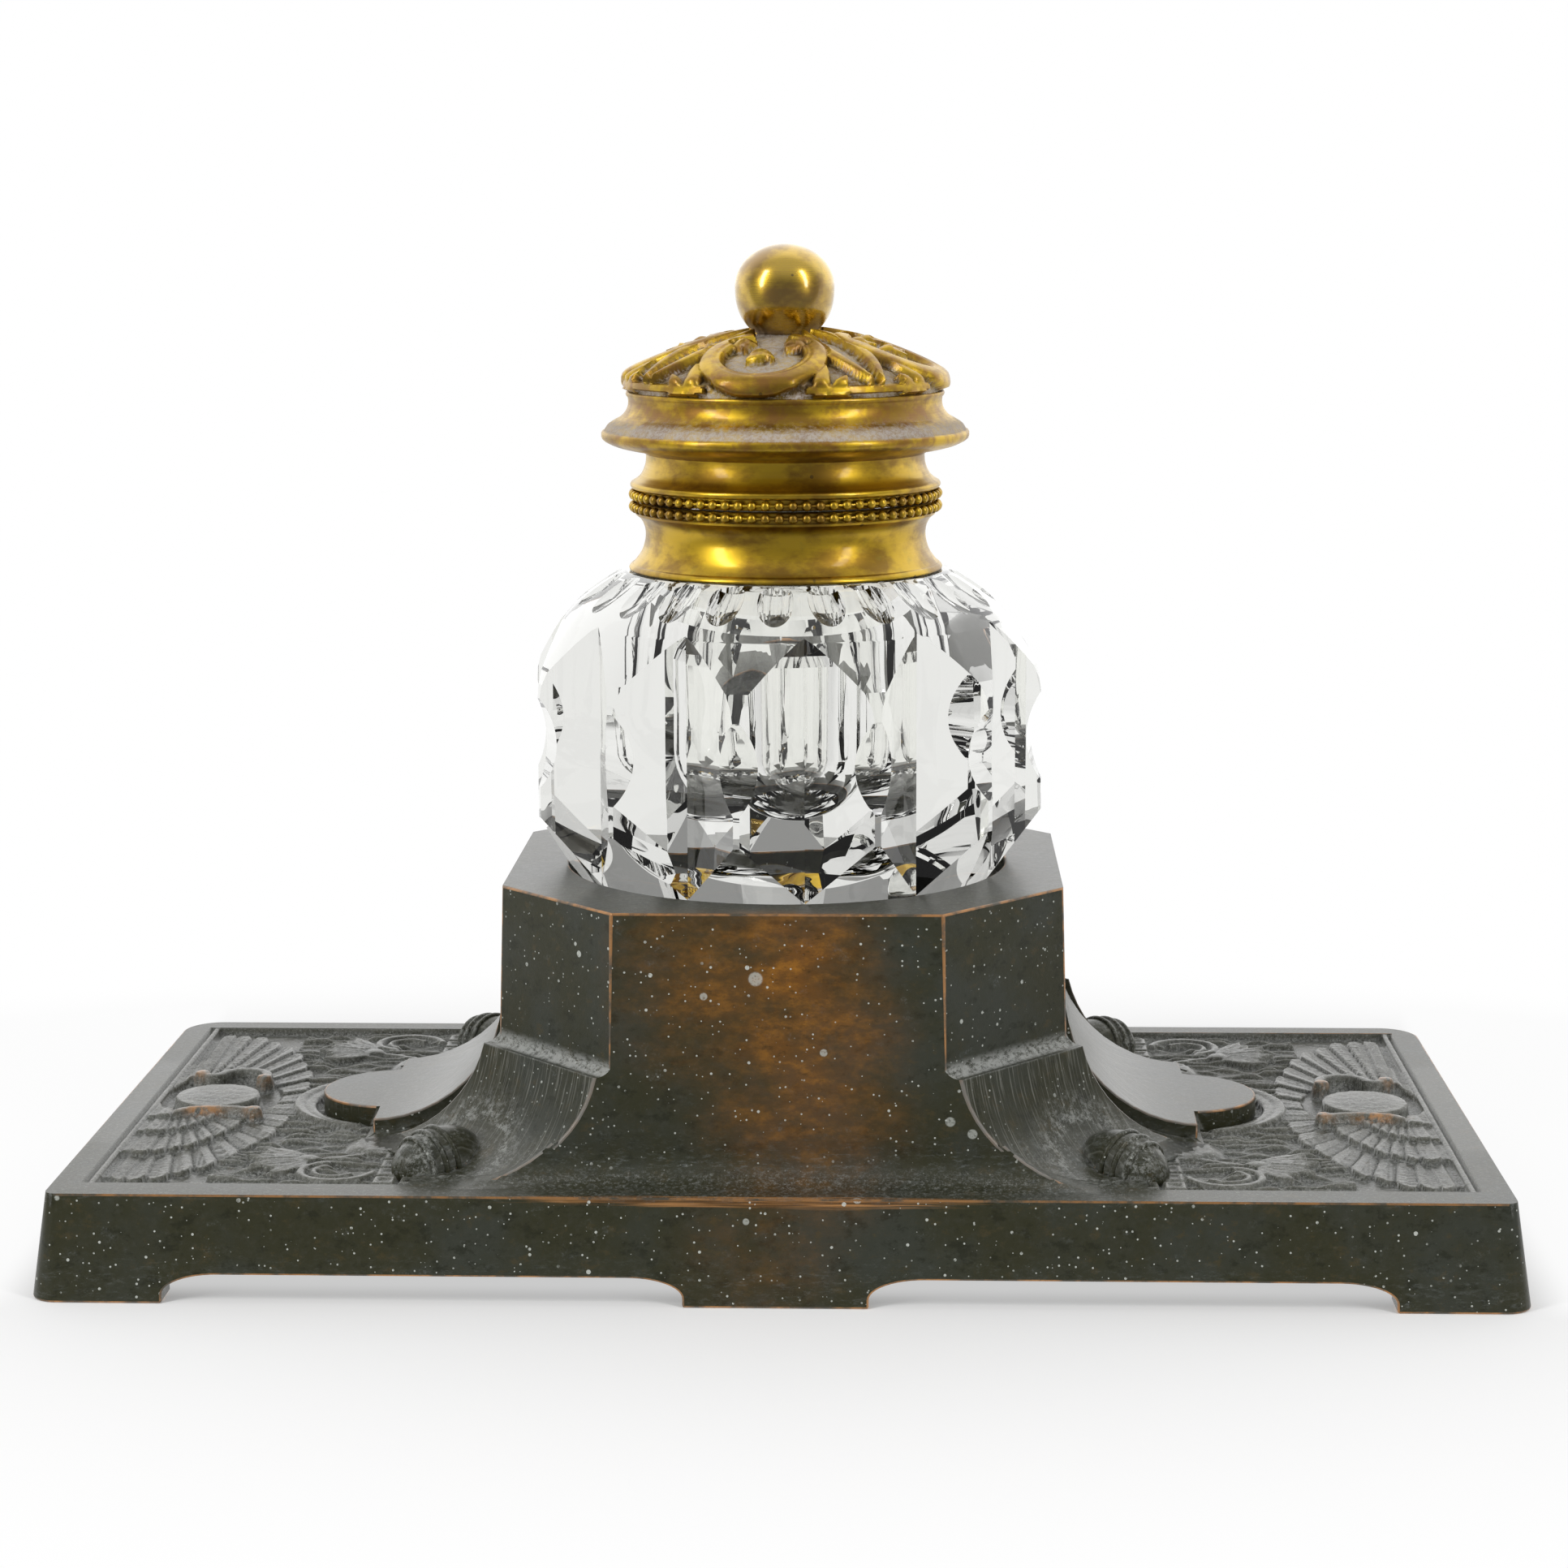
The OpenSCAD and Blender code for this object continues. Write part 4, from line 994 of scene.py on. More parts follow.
def build_bosses():
    """Ribbed oval bosses at the feet of the flares."""
    half, wide, rib_pitch = 6.8, 4.4, 1.7
    tilt, plan = math.radians(8), math.radians(43)
    lean = np.array([[math.cos(tilt), 0, -math.sin(tilt)], [0, 1, 0],
                     [math.sin(tilt), 0, math.cos(tilt)]])
    swing = np.array([[math.cos(plan), math.sin(plan), 0], [-math.sin(plan), math.cos(plan), 0],
                      [0, 0, 1]])
    unit, faces = ball_grid(121, 96)
    along = unit[:, 2] * half
    around = np.degrees(np.arctan2(unit[:, 1], unit[:, 0]))
    ribs = (((along + 1.0) / rib_pitch + around * 0.005) % 1)**2
    swell = 1 + 0.14 * ribs * (np.abs(unit[:, 2]) < 0.88)
    boss = np.stack([along, unit[:, 0] * wide * swell, unit[:, 1] * wide * swell], -1)
    boss = boss @ lean @ swing + (BOSS_X, BOSS_Y, TRAY_TOP - 0.6)
    parts = [(boss * (sx, sy, 1), faces if sx * sy > 0 else [f[::-1] for f in faces])
             for sx in (1, -1) for sy in (1, -1)]
    crests = [int(ribs[face].min() > 0.6 and abs(unit[face[0], 2]) < 0.85) for face in faces]
    obj = make_object("corner_bosses", *gather(parts), ["bronze", "copper"])
    obj.data.polygons.foreach_set("material_index", crests * len(parts))
    return place_piece(obj, "base", "bronze")


# --------------------------------------------------------------- bottle


RIDGE_R, CREASE_R, FOOT_R = 39.5, 33.6, 29.8
BEVEL_Z, BARREL_Z = SOCKET_Z + 12.7, SOCKET_Z + 33.8
NOTCH_DEPTH, NOTCH_HALF = 2.0, 6.8
RIDGE_TURN = -68.5         # direction of the first ridge, in degrees
NECK_R, WELL_R, MOUTH_R = 19.4, 17.0, 13.2
SCOOP_OUT, SCOOP_WIDE, SCOOP_LONG = 4.0, 4.6, 10.5  # half axes of a flute's cutter
SCOOP_DEPTH = 0.85
CUT_LOW, CUT_HIGH = SOCKET_Z - 5, SEAT_Z + 20       # ends of the upright cutters


def shoulder_line():
    """Profile from the ridges, straight up to the creases and round to the collar's seat."""
    z = SEAT_Z
    round_part = [(34.2, z - 7.2), (32.7, z - 5.5), (31.1, z - 4.0), (29.4, z - 2.7),
                  (27.6, z - 1.5), (26.1, z - 0.6), (24.3, z)]
    return [(RIDGE_R, z - 18.3), (39.2, z - 16.0), (38.5, z - 13.9), *spline(round_part, 5)]


def bottle_blank():
    """The bottle before it is cut: round outside, with its well and neck."""
    well_floor, round_r = SOCKET_Z + 12.5, WELL_R * 0.6
    well = [(MOUTH_R, BOTTLE_HIGH[2]), (MOUTH_R, SEAT_Z - 7), (WELL_R - 0.6, SEAT_Z - 10.6),
            (WELL_R, SEAT_Z - 12.2)]
    well += [(WELL_R - round_r + round_r * math.cos(a), well_floor + round_r - round_r * math.sin(a))
             for a in np.linspace(0, math.pi / 2, 12)]
    foot_z = SOCKET_Z + 0.03
    profile = [(0, foot_z), (RIDGE_R, foot_z), *shoulder_line(), (NECK_R, SEAT_Z),
               (NECK_R, BOTTLE_HIGH[2]), *well, (0, well_floor)]
    return make_object("crystal_bottle", *lathe(profile, 288), ["crystal"])


def ridge_cutter(ridges):
    """Star that leaves flat panels between the ridges and the creases."""
    corners = []
    for i in range(2 * ridges):
        a = math.radians(RIDGE_TURN + 180 * i / ridges)
        r = RIDGE_R + 0.4 if i % 2 == 0 else CREASE_R
        corners.append((r * math.cos(a), r * math.sin(a)))
    return make_object("star", *prism(corners, CUT_LOW, CUT_HIGH), [])


def bevel_cutter(ridges):
    """Pyramid that bevels the foot, with one side for each ridge."""
    points, faces = prism([(0, 0)] * ridges, CUT_LOW, CUT_HIGH)
    for i, (_, _, z) in enumerate(points):
        a = math.radians(RIDGE_TURN + 360 * (i + 0.5) / ridges)
        r = FOOT_R + (z - SOCKET_Z) * (RIDGE_R - FOOT_R) / (BEVEL_Z - SOCKET_Z)
        r = r / math.cos(math.pi / ridges)
        points[i] = (r * math.cos(a), r * math.sin(a), z)
    return make_object("bevel", points, faces, [])


def notch_cutter(ridges):
    """Level round bars that notch the ridges."""
    radius = (NOTCH_HALF**2 + NOTCH_DEPTH**2) / (2 * NOTCH_DEPTH)
    z = (BARREL_Z + BEVEL_Z) / 2 + 0.9
    bars = []
    for i in range(ridges):
        a = math.radians(RIDGE_TURN + 360 * i / ridges)
        r = RIDGE_R - NOTCH_DEPTH + radius
        bars.append(tube((r * math.cos(a), r * math.sin(a), z), (-math.sin(a), math.cos(a), 0),
                         radius, 14, 96))
    return make_object("notches", *gather(bars), [])


def flute_cutter(flutes):
    """Long ovals that scoop out the shoulder."""
    unit, ball_faces = ball_grid(33, 48)
    middle, ahead = np.array((28.6, SEAT_Z - 2.1)), np.array((-1.75, 1.15))
    ahead = ahead / np.linalg.norm(ahead)
    outward = np.array([ahead[1], -ahead[0]])
    scoops = []
    for i in range(flutes):
        a = math.radians(RIDGE_TURN + 360 * (i + 0.5) / flutes)
        tangent = np.array([-math.sin(a), math.cos(a), 0])
        # Turns a (radius, height) pair of the flute's own upright plane into a place
        plane = np.array([[math.cos(a), math.sin(a), 0], [0, 0, 1]])
        up, out = ahead @ plane, outward @ plane
        at = middle @ plane + out * (SCOOP_OUT - SCOOP_DEPTH)
        points = at + np.outer(unit[:, 0], out) * SCOOP_OUT \
            + np.outer(unit[:, 1], tangent) * SCOOP_WIDE + np.outer(unit[:, 2], up) * SCOOP_LONG
        scoops.append((points, [f[::-1] for f in ball_faces]))
    tool = make_object("scoops", *gather(scoops), [])
    bm = bmesh.new()
    bm.from_mesh(tool.data)
    bmesh.ops.recalc_face_normals(bm, faces=bm.faces)
    bm.to_mesh(tool.data)
    bm.free()
    return tool


def build_bottle():
    """Cut-crystal bottle: flat panels between ridges, notches and shoulder flutes."""
    s = bpy.context.scene.inkstand_crystal
    obj = bottle_blank()
    cut(obj, ridge_cutter(s.ridges), "INTERSECT")
    cut(obj, bevel_cutter(s.ridges), "INTERSECT")
    cut(obj, notch_cutter(s.ridges), "DIFFERENCE")
    cut(obj, flute_cutter(s.flutes), "DIFFERENCE")
    obj.data.shade_smooth()
    obj.data.set_sharp_from_angle(angle=math.radians(13))
    return place_piece(obj, "bottle", "crystal", "ink_bottle")


# ---------------------------------------------------------- turned brass


REBATE_R, RIM_R = 22.32, 22.85
BEAD_RING_R, BEAD_R, BEADS = 23.15, 0.78, 72
BEAD_WIRE_R = 0.25
STUD_R = 1.25              # bore of the ball and the dome for the stud
HINGE_HALF = 8.0           # half the width that the beads leave open for the hinge


def build_collar():
    """Turned collar: rolled foot, hollow waist and the rebate for its beads."""
    z = SEAT_Z
    top = COLLAR_HIGH[2]
    foot = spline([(23.45, z), (23.86, z + 0.2), (23.9, z + 0.55), (23.6, z + 0.95),
                   (23.3, z + 1.12)])
    waist = spline([(23.22, z + 1.2), (22.75, z + 1.75), (22.15, z + 2.6), (21.7, z + 3.6),
                    (21.4, z + 4.9), (21.38, z + 6.0), (21.6, z + 7.0), (22.1, z + 7.9),
                    (22.85, z + 8.55)])
    profile = [*foot, *waist, (RIM_R, top - 1.61), (REBATE_R, top - 1.61), (REBATE_R, top - 0.15),
               (REBATE_R - 0.15, top), (20.4, top), (20.4, z)]
    obj = make_object("turned_collar", *lathe(profile), ["brass"], 35)
    return place_piece(obj, "bottle", "brass", "collar")


def build_band():
    """Turned band of the lid, with the swell over its beads."""
    z = BAND_LOW[2]
    top = BAND_HIGH[2]
    swell = spline([(RIM_R, z + 1.62), (23.35, z + 1.75), (23.62, z + 2.15), (23.5, z + 2.6),
                    (22.95, z + 2.95)])
    waist = spline([(22.8, z + 3.05), (22.1, z + 3.65), (21.6, z + 4.5), (21.28, z + 5.5),
                    (21.2, z + 6.3), (21.2, top)])
    profile = [(19.8, z), (REBATE_R - 0.15, z), (REBATE_R, z + 0.15), (REBATE_R, z + 1.61),
               *swell, *waist, (19.8, top)]
    obj = make_object("turned_lid_band", *lathe(profile), ["brass"], 35)
    return place_piece(obj, "lid", "brass", "lid_band")


def build_beads(name, z, body, node):
    """Beaded wire round a rim, open at the hinge."""
    unit, ball_faces = ball_grid(13, 20)
    rng = np.random.default_rng(11 if body == "lid" else 12)
    gap = math.asin((HINGE_HALF + BEAD_R) / BEAD_RING_R)
    step = 2 * math.pi / BEADS
    parts = []
    start, stop = math.pi / 2 + gap, 2.5 * math.pi - gap
    angle = start + step / 2
    while angle <= stop - step / 2 + 1e-6:
        size = BEAD_R * rng.uniform(0.955, 1.0)
        centre = (BEAD_RING_R * math.cos(angle), BEAD_RING_R * math.sin(angle), z)
        parts.append((unit * size + centre, ball_faces))
        angle += step
    turns, ring = 300, 12
    wire = []
    for i in range(turns + 1):
        a = start + (stop - start) * i / turns
        for k in range(ring):
            b = 2 * math.pi * k / ring
            r = BEAD_RING_R + BEAD_WIRE_R * math.cos(b)
            wire.append((r * math.cos(a), r * math.sin(a), z + BEAD_WIRE_R * math.sin(b)))
    faces = [[i * ring + k, (i + 1) * ring + k, (i + 1) * ring + (k + 1) % ring,
              i * ring + (k + 1) % ring] for i in range(turns) for k in range(ring)]
    faces += [list(range(ring)), list(range(turns * ring, (turns + 1) * ring))[::-1]]
    parts.append((wire, faces))
    obj = make_object(name, *gather(parts), ["brass"], 60)
    return place_piece(obj, body, "brass", node)


def build_ball():
    """Turned ball finial, squat above and full below, cut flat at its foot."""
    low, high = BALL_LOW[2], BALL_HIGH[2]
    radius = (BALL_HIGH[0] - BALL_LOW[0]) / 2
    above, drop, power = 6.3, 8.0, 2.4
    middle = high - above
    profile = [(STUD_R, low)]
    for a in np.linspace(0, math.pi / 2, 60):
        r, z = radius * math.sin(a)**(2 / power), middle - drop * math.cos(a)**(2 / power)
        if z > low + 0.02:
            if len(profile) == 1:
                profile.append((r - 0.15, low))
            profile.append((r, z))
    profile += [(radius * math.cos(a), middle + above * math.sin(a))
                for a in np.linspace(0, math.pi / 2, 40)[1:-1]]
    profile += [(0, high), (0, middle), (STUD_R, middle)]
    obj = make_object("turned_ball", *lathe(profile, 192), ["ball"], 45)
    return place_piece(obj, "lid", "brass", "finial_ball")


# ------------------------------------------------------------ cast cover


DRUM_R, DOME_RISE = 23.8, 6.6
RIM_HEIGHT = 11.2          # of the dome's edge over the lid's band
COVER_WALL = 1.4
COVER_SEGMENTS = 500
DOME_REACH = 26.7          # from the axis to the lip, measured along the dome
COVER_TURN = -99.0         # direction of the front horseshoe, in degrees


def leaf(x, y, at, turn, long, half):
    """Depth inside the outline of a leaf that starts at a point, and the distance off its vein."""
    c, s = math.cos(math.radians(turn)), math.sin(math.radians(turn))
    a = (x - at[0]) * c + (y - at[1]) * s
    b = -(x - at[0]) * s + (y - at[1]) * c
    t = np.clip(a / long, 0, 1)
    return np.where((a > 0) & (a < long), half * np.sin(np.pi * t**0.8)**0.8 - np.abs(b), -1), b


def cover_relief(x, y):
    """Height of the cast ornament on the unrolled dome, in millimetres."""
    away = np.hypot(x, y)
    angle = np.degrees(np.arctan2(y, x)) - COVER_TURN
    local = (angle + 45) % 90 - 45                # 0 in the middle of a horseshoe
    u = away * np.sin(np.radians(local))
    v = away * np.cos(np.radians(local))
    height = 0.06 * grain(x + 60, y + 60, 0.9, 21) + 0.05 * grain(x + 60, y + 60, 0.4, 22)
    # Pairs of long leaves on the diagonals
    diagonal = (angle % 90) - 45
    du, dv = away * np.sin(np.radians(diagonal)), away * np.cos(np.radians(diagonal))
    t = np.clip((dv - 6.0) / 19.5, 0, 1)
    line = 0.75 + 2.3 * np.sin(np.pi * t**0.9)
    half = 1.15 * np.sin(np.pi * np.clip(t, 0.02, 0.98))**0.5
    offset = np.abs(du) - line
    inside = np.where((dv > 6.0) & (dv < 25.5), half - np.abs(offset), -1)
    height = over(height, rise(inside, 0.45), 1.45 - 0.45 * (offset / 1.2)**2)
    # Small palmettes of three leaves against the lip
    for at, turn, long, half in (((13.0, 24.6), -52, 3.6, 1.0), ((11.8, 24.9), -72, 5.4, 1.15),
                                 ((10.3, 25.3), -96, 7.4, 1.35)):
        inside, b = leaf(np.abs(u), v, at, turn, long, half)
        height = over(height, rise(inside, 0.35), 1.25 - 0.30 * b * b)
    height = over(height, rise(0.55 - np.abs(away - 25.6), 0.4) * (np.abs(u) > 8), 0.9)
    # Horseshoes, open toward the ball
    ring = np.hypot(u, v - 16.9)
    facing = np.abs(np.degrees(np.arctan2(u, 16.9 - v)))  # 0 points to the ball
    across = ring - 7.9
    inside = np.minimum(1.85 - np.abs(across), (facing - 19) * 0.12)
    height = over(height, rise(inside, 0.45), 1.45 - 0.055 * across**4)
    height = height - 0.16 * np.exp(-((across + 0.9) / 0.25)**2) * (inside > 0)
    for ku, kv, size, turn in ((-3.8, 12.3, 1.9, 0), (3.9, 12.3, 1.9, 1), (-0.5, 16.8, 2.0, 2)):
        knob = np.hypot(u - ku, v - kv)
        lobes = 0.35 * np.cos(3 * np.arctan2(u - ku, v - kv) + turn)
        height = over(height, rise(size + lobes - knob, 0.45), 1.6 - 0.28 * knob**2)
    for start, turn, long in (((-0.5, 16.6), 120, 3.4), ((-0.5, 16.6), 35, 3.2),
                              ((3.9, 12.3), 110, 3.0), ((-3.7, 12.3), 80, 2.6)):
        inside, b = leaf(u, v, start, turn, long, 0.7)
        height = over(height, rise(inside, 0.35), 1.25 - 0.3 * b * b)
    return over(height, rise(4.4 - away, 0.7), 0.3)


def cover_outside(z):
    """Profile of the cover's outside, from under the brim up to the lip."""
    under = spline([(21.25, z), (22.3, z + 0.5), (24.2, z + 0.85), (26.0, z + 1.3),
                    (27.4, z + 1.95)], 4)
    edge = [(27.8, z + 2.3), (27.94, z + 2.7), (27.94, z + 3.2), (27.8, z + 3.45), (27.5, z + 3.55),
            (27.42, z + 3.62)]
    upper = spline([(27.4, z + 3.75), (26.9, z + 4.45), (25.9, z + 5.1), (24.95, z + 5.65),
                    (24.3, z + 6.35), (23.92, z + 7.1), (23.8, z + 7.9), (23.88, z + 8.55)], 5)
    lip = [(24.1, z + 8.8), (24.18, z + 9.05), (24.12, z + 9.35)]
    return [*under, *edge, *upper, *lip]


def dome_line(z, dome_r):
    """The dome from the lip to the ball in even steps, with how far along each step lies."""
    rim_z = z + RIM_HEIGHT
    swing = math.asin(DRUM_R / dome_r)
    way = [(23.85, z + 9.5), (DRUM_R - 0.02, rim_z - 0.8)]
    way += [(dome_r * math.sin(a), rim_z + DOME_RISE - dome_r * (1 - math.cos(a)))
            for a in np.linspace(swing * 0.985, math.asin(2.4 / dome_r), 60)]
    way = np.array(way)
    gone = np.insert(np.cumsum(np.hypot(*np.diff(way, axis=0).T)), 0, 0)
    even = np.linspace(0, gone[-1], 104)
    return np.stack([np.interp(even, gone, way[:, 0]), np.interp(even, gone, way[:, 1])], -1), even


def build_cover():
    """Brim, drum and dome in one casting, with raised ornament on the dome."""
    z = COVER_LOW[2]
    rim_z = z + RIM_HEIGHT
    dome_top = rim_z + DOME_RISE
    dome_r = (DRUM_R**2 + DOME_RISE**2) / (2 * DOME_RISE)
    outside = cover_outside(z)
    line, even = dome_line(z, dome_r)
    ahead = np.gradient(line, axis=0)
    outward = np.stack([ahead[:, 1], -ahead[:, 0]], -1)
    outward /= np.linalg.norm(outward, axis=1)[:, None]
    inner_r, wall = dome_r - COVER_WALL, DRUM_R - COVER_WALL
    inside = [(inner_r * math.sin(a), dome_top - COVER_WALL - inner_r * (1 - math.cos(a)))
              for a in np.linspace(math.asin(STUD_R / inner_r), math.asin(wall / inner_r), 14)]
    inside += [(wall, rim_z - 1.0), (wall, z + 4.5), (19.8, z + 2.4), (19.8, z)]
    points, faces = lathe([*outside, *map(tuple, line), (STUD_R, dome_top), *inside], COVER_SEGMENTS)
    points = np.array(points)
    first = len(outside) * COVER_SEGMENTS
    last = first + len(line) * COVER_SEGMENTS
    turn = np.tile(np.arange(COVER_SEGMENTS) * 2 * np.pi / COVER_SEGMENTS, len(line))
    away = np.repeat(DOME_REACH - even, COVER_SEGMENTS)
    table = cover_relief(away * np.cos(turn), away * np.sin(turn))
    shift = table * rise(DOME_REACH - 0.25 - away, 0.5)
    out = np.repeat(outward, COVER_SEGMENTS, axis=0)
    points[first:last] += np.stack([out[:, 0] * np.cos(turn), out[:, 0] * np.sin(turn), out[:, 1]],
                                   -1) * shift[:, None]
    obj = make_object("cast_cover", points, faces, ["cast"], 50)
    # Where dirt and painted shade lie deep between the ornament, and where dust settles on the ground
    # and the brim
    table = table.reshape(len(line), COVER_SEGMENTS)
    soft = blurred(table, 6)
    hollow, settled = np.zeros(len(points)), np.zeros(len(points))
    hollow[first:last] = np.clip((soft - table - 0.15) * 2.2, 0, 1).ravel()
    settled[first:last] = (np.clip((0.5 - table) * 4, 0, 1)
                           * (1 - np.clip((soft - table - 0.25) * 2, 0, 0.8))).ravel()
    height = points[:, 2] - z
    radius = np.hypot(points[:, 0], points[:, 1])
    brim = np.clip((radius - 24.1) / 2.6, 0, 1) * rise(height - 3.5, 0.3) * (height < 6.4)
    add_field(obj.data, "hollow", hollow)
    add_field(obj.data, "settled", np.maximum(settled, brim))
    return place_piece(obj, "lid", "cast_brass", "lid_cover")


SMALL_PARTS = {"neck_plaster": "plaster", "collar_hinge_leaf": "plain_brass",
               "lid_hinge_leaf": "plain_brass", "hinge_pin": "plain_brass",
               "finial_stud": "plain_brass", "finial_nut": "plain_brass"}


def dress_small_parts():
    """Finishes on the solids of the frame that stay as they are."""
    for node, name in SMALL_PARTS.items():
        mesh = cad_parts[node].data
        mesh.materials.clear()
        mesh.materials.append(finish(name))


# ---------------------------------------------------------------- stage


CAMERA_AT = (18.19, -503.43, 156.27)
CAMERA_YAW, CAMERA_PITCH, CAMERA_ROLL = 0.0369, 0.1759, -0.0039  # in radians


def build_camera(lens):
    """Camera at the place that was solved from the corners of the tray and the block."""
    cy, sy = math.cos(CAMERA_YAW), math.sin(CAMERA_YAW)
    cp, sp = math.cos(CAMERA_PITCH), math.sin(CAMERA_PITCH)
    ahead = Vector((-sy * cp, cy * cp, -sp))
    right = Vector((cy, sy, 0))
    up = right.cross(ahead)
    cr, sr = math.cos(CAMERA_ROLL), math.sin(CAMERA_ROLL)
    right, up = cr * right + sr * up, -sr * right + cr * up
    data = bpy.data.cameras.new("camera")
    data.lens, data.sensor_width, data.sensor_fit = lens, 36, "HORIZONTAL"
    data.clip_start, data.clip_end = 0.01, 50
    camera = bpy.data.objects.new("camera", data)
    rotation = Matrix((right, up, -ahead)).transposed().to_4x4()
    camera.matrix_world = Matrix.Translation(Vector(CAMERA_AT) * MM) @ rotation
    bpy.context.scene.collection.objects.link(camera)
    bpy.context.scene.camera = camera


def add_softbox(name, azimuth, elevation, distance, width, height, power):
    """Softbox that looks at the inkstand, in metres; azimuth 0 is straight in front."""
    data = bpy.data.lights.new(name, "AREA")
    data.shape, data.size, data.size_y, data.energy = "RECTANGLE", width, height, power
    lamp = bpy.data.objects.new(name, data)
    a, e = math.radians(azimuth), math.radians(elevation)
    aim = Vector((0, 0, 0.07))
    lamp.location = aim + distance * Vector((math.sin(a) * math.cos(e), -math.cos(a) * math.cos(e),
                                             math.sin(e)))
    lamp.rotation_euler = (aim - lamp.location).to_track_quat("-Z", "Y").to_euler()
    lamp.visible_transmission = False
    bpy.context.scene.collection.objects.link(lamp)


def build_world(fill):
    """Soft room light; a camera, a mirror and glass see a white room, darker in front."""
    world = bpy.data.worlds.new("studio")
    bpy.context.scene.world = world
    world.use_nodes = True
    room = Nodes(world.node_tree)
    side, toward, height = room.split(room.node("ShaderNodeTexCoord", output=0))
    behind = toward.step(-0.25, 0.45)
    above = height.step(0.30, 0.95)
    mirrored = 0.30 + 1.40 * behind.most(above * 0.35)
    # A dark card, low behind the inkstand, that only the glass shows
    card = height.step(0.07, 0.17) * height.step(0.46, 0.30) * abs(side).step(0.62, 0.34)
    refracted = (0.64 + 0.18 * behind.most(above * 0.85)) * (1 - 0.64 * card)
    camera, glossy, through = room.rays()
    others = through * refracted + (1 - through) * (glossy * mirrored + (1 - glossy) * fill)
    background = next(n for n in room.tree.nodes if n.type == "BACKGROUND")
    room.feed(background.inputs["Color"], camera + (1 - camera) * others)


def build_floor(colour):
    """Pale floor that keeps the shadow close by, shows the camera a painted shadow under the tray, and
    fades to white further out.
    """
    points = [(-4000, -4000, 0), (4000, -4000, 0), (4000, 9000, 0), (-4000, 9000, 0)]
    mesh = bpy.data.meshes.new("floor")
    mesh.from_pydata([tuple(c * MM for c in p) for p in points], [], [[0, 1, 2, 3]])
    floor = bpy.data.objects.new("floor", mesh)
    floor.location.z = CAD_BOX[0][2] - 0.02 * MM
    bpy.context.scene.collection.objects.link(floor)
    f = Finish("floor_paper", Roughness=0.85, Specular_IOR_Level=0.1)
    f.give(Base_Color=tuple(colour))
    x, y, _ = f.split(f.place())
    far = (((x * x * 0.35) + (y * y)) ** 0.5).step(64.0, 165.0)
    beneath = abs(x).step(108.0, 98.0) * abs(y).step(54.0, 42.0)
    beside = y.step(-60.0, -46.0) * abs(x).step(104.0, 116.0) * 0.9
    front = y.step(-30.0, -160.0)
    camera, glossy, through = f.rays()
    # Mirrors and glass see the floor as a glowing sheet, brighter behind and darker in front, in place
    # of the lit floor: a painted reflection
    mirrored, refracted = 1.2 - 0.82 * front, 0.85 - 0.14 * front
    others = through * refracted + (1 - through) * mirrored
    # Under the tray the camera sees a painted shadow: a grey emission in place of the lit floor
    white_with_painted_shadow = 1 - 0.31 * beneath
    white = f.node("ShaderNodeEmission", {}, {"Color": camera * white_with_painted_shadow + (1 - camera) * others})
    fade = (camera * far.most(beneath * 0.85).most(beside)).most(glossy).most(through)
    mix = f.node("ShaderNodeMixShader", {}, {0: fade, 1: Socket(f, f.shader.outputs[0]), 2: white})
    out = next(n for n in f.tree.nodes if n.type == "OUTPUT_MATERIAL")
    f.feed(out.inputs["Surface"], mix)
    mesh.materials.append(f.material)


# ------------------------------------------------------------ operators


class INKSTAND_OT_base(bpy.types.Operator):
    """Dress the bronze casting and its bosses"""
    bl_idname = "inkstand.base"
    bl_label = "Bronze base"

    def execute(self, context):
        build_base()
        build_bosses()
        return {"FINISHED"}


class INKSTAND_OT_relief(bpy.types.Operator):
    """Carve the two relief panels"""
    bl_idname = "inkstand.relief"
    bl_label = "Relief panels"

    def execute(self, context):
        build_relief("relief_right", 1)
        build_relief("relief_left", -1)
        return {"FINISHED"}


class INKSTAND_OT_bottle(bpy.types.Operator):
    """Cut the crystal bottle"""
    bl_idname = "inkstand.bottle"
    bl_label = "Crystal bottle"

    def execute(self, context):
        build_bottle()
        return {"FINISHED"}


class INKSTAND_OT_brass(bpy.types.Operator):
    """Turn the collar, the band, the beads and the ball"""
    bl_idname = "inkstand.brass"
    bl_label = "Turned brass"

    def execute(self, context):
        build_collar()
        build_band()
        build_beads("collar_beads", COLLAR_HIGH[2] - BEAD_R, "bottle", "collar_bead_ring")
        build_beads("lid_beads", BAND_LOW[2] + BEAD_R, "lid", "lid_bead_ring")
        build_ball()
        return {"FINISHED"}


class INKSTAND_OT_cover(bpy.types.Operator):
    """Cast the lid's cover"""
    bl_idname = "inkstand.cover"
    bl_label = "Cast cover"

    def execute(self, context):
        build_cover()
        return {"FINISHED"}


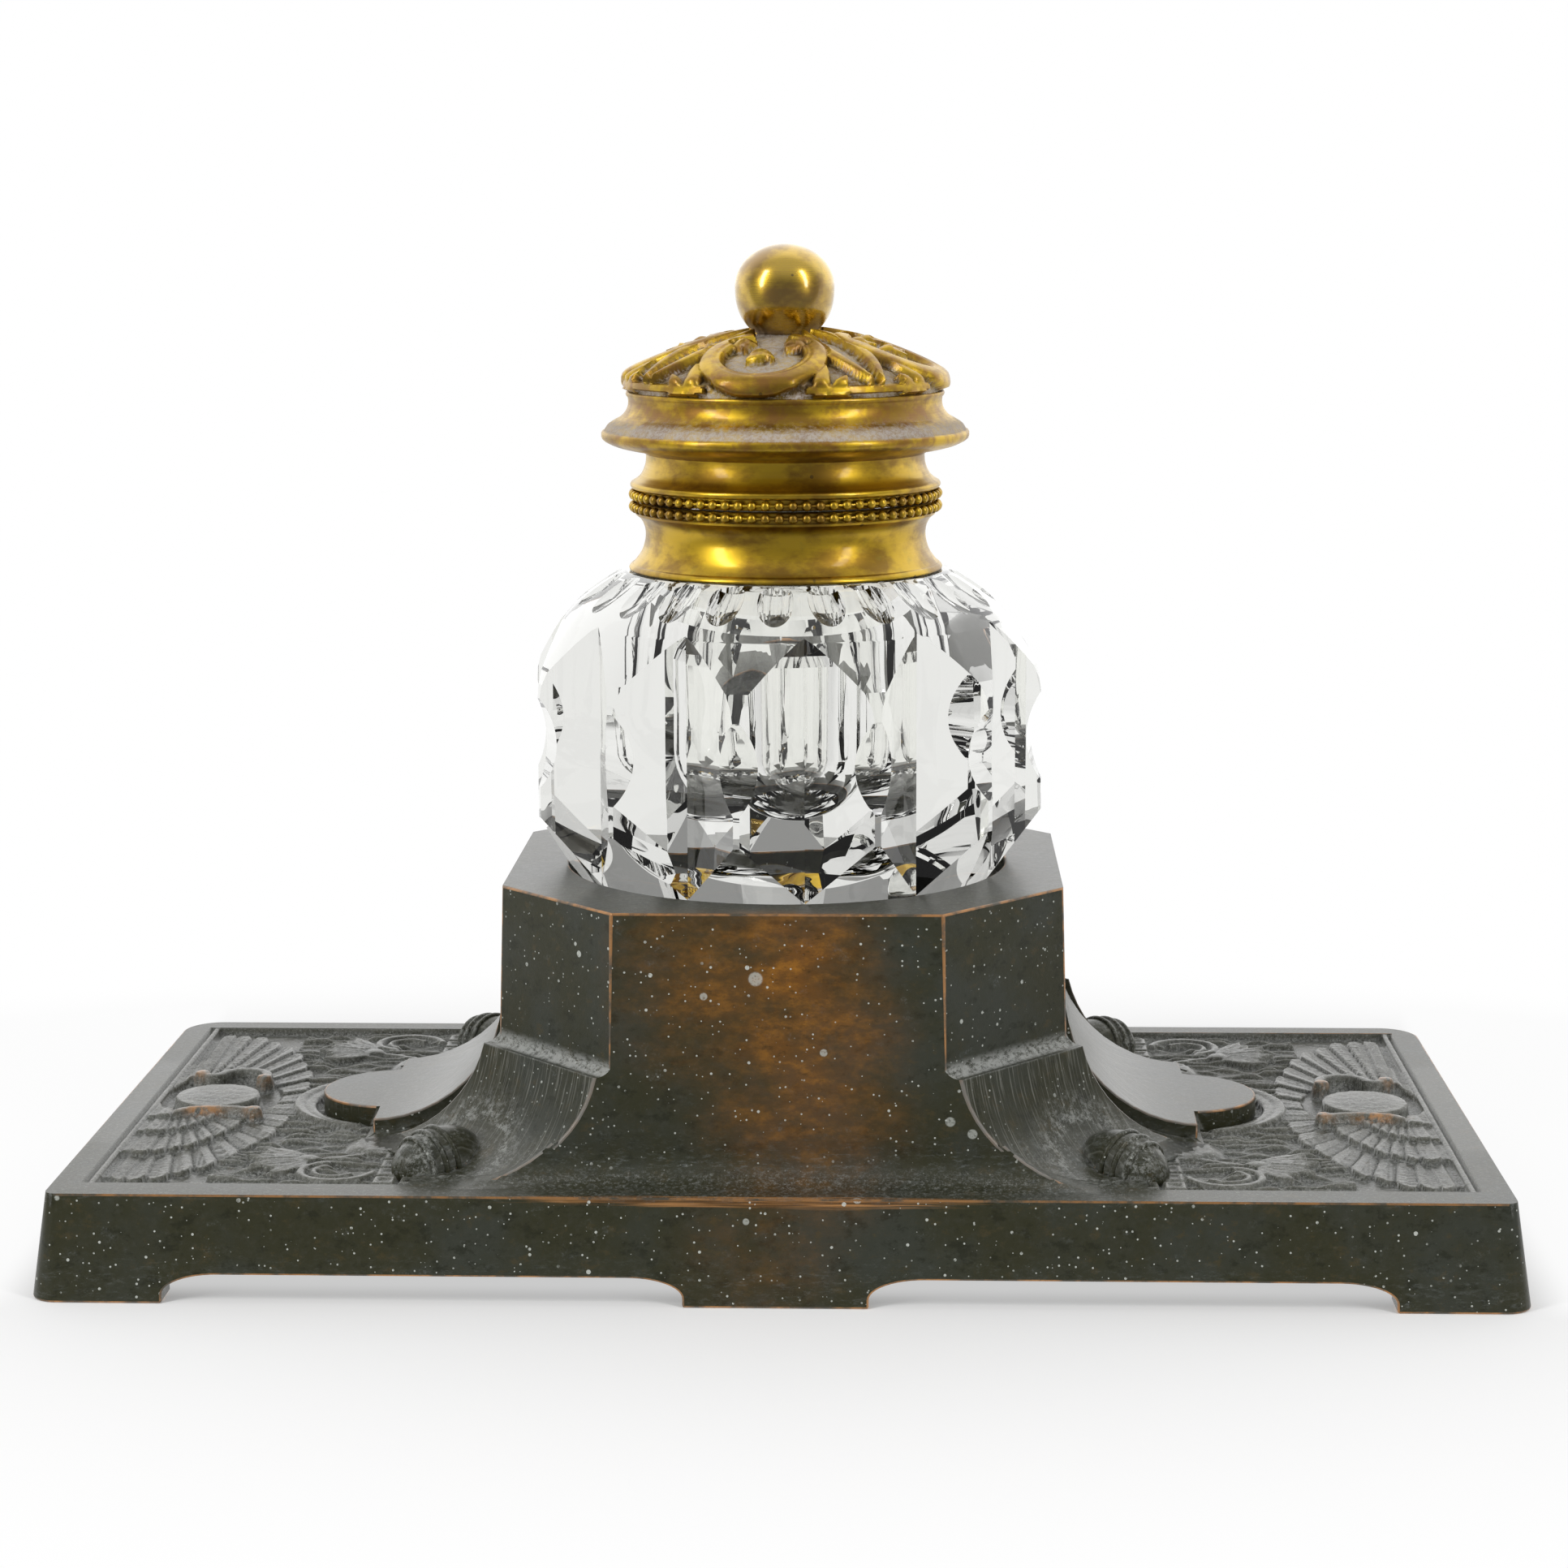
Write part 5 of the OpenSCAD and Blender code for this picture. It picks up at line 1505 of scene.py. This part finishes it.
class INKSTAND_OT_small_parts(bpy.types.Operator):
    """Finish the hinge, the plaster bed and the finial's stud and nut"""
    bl_idname = "inkstand.small_parts"
    bl_label = "Small parts"

    def execute(self, context):
        dress_small_parts()
        return {"FINISHED"}


class INKSTAND_OT_stage(bpy.types.Operator):
    """Set up the floor, the lights and the camera"""
    bl_idname = "inkstand.stage"
    bl_label = "Studio stage"

    def execute(self, context):
        s = context.scene.inkstand_stage
        context.scene.view_settings.view_transform = "Standard"
        build_camera(s.lens)
        build_world(s.fill)
        build_floor(s.floor)
        add_softbox("softbox_left", -53, 27, 0.95, 0.15, 0.8, s.key_power)
        add_softbox("softbox_right", 53, 27, 0.95, 0.12, 0.8, s.key_power * 0.75)
        return {"FINISHED"}


class INKSTAND_PT_panel(bpy.types.Panel):
    """Steps and sizes of the inkstand"""
    bl_label = "Inkstand"
    bl_idname = "INKSTAND_PT_panel"
    bl_space_type = "VIEW_3D"
    bl_region_type = "UI"
    bl_category = "Inkstand"

    def draw(self, context):
        for operator in OPERATORS:
            self.layout.operator(operator.bl_idname)
        for name, group in SETTINGS.items():
            box = self.layout.box()
            for prop in group.__annotations__:
                box.prop(getattr(context.scene, name), prop)


OPERATORS = (INKSTAND_OT_base, INKSTAND_OT_relief, INKSTAND_OT_bottle, INKSTAND_OT_brass,
             INKSTAND_OT_cover, INKSTAND_OT_small_parts, INKSTAND_OT_stage)


def register():
    for cls in (*SETTINGS.values(), *OPERATORS, INKSTAND_PT_panel):
        bpy.utils.register_class(cls)
    for name, group in SETTINGS.items():
        setattr(bpy.types.Scene, name, bpy.props.PointerProperty(type=group))


def unregister():
    for name in SETTINGS:
        delattr(bpy.types.Scene, name)
    for cls in (INKSTAND_PT_panel, *reversed(OPERATORS), *reversed(SETTINGS.values())):
        bpy.utils.unregister_class(cls)


def main():
    register()
    bpy.ops.inkstand.base()
    bpy.ops.inkstand.relief()
    bpy.ops.inkstand.bottle()
    bpy.ops.inkstand.brass()
    bpy.ops.inkstand.cover()
    bpy.ops.inkstand.small_parts()
    bpy.ops.inkstand.stage()


if __name__ == "__main__":
    main()
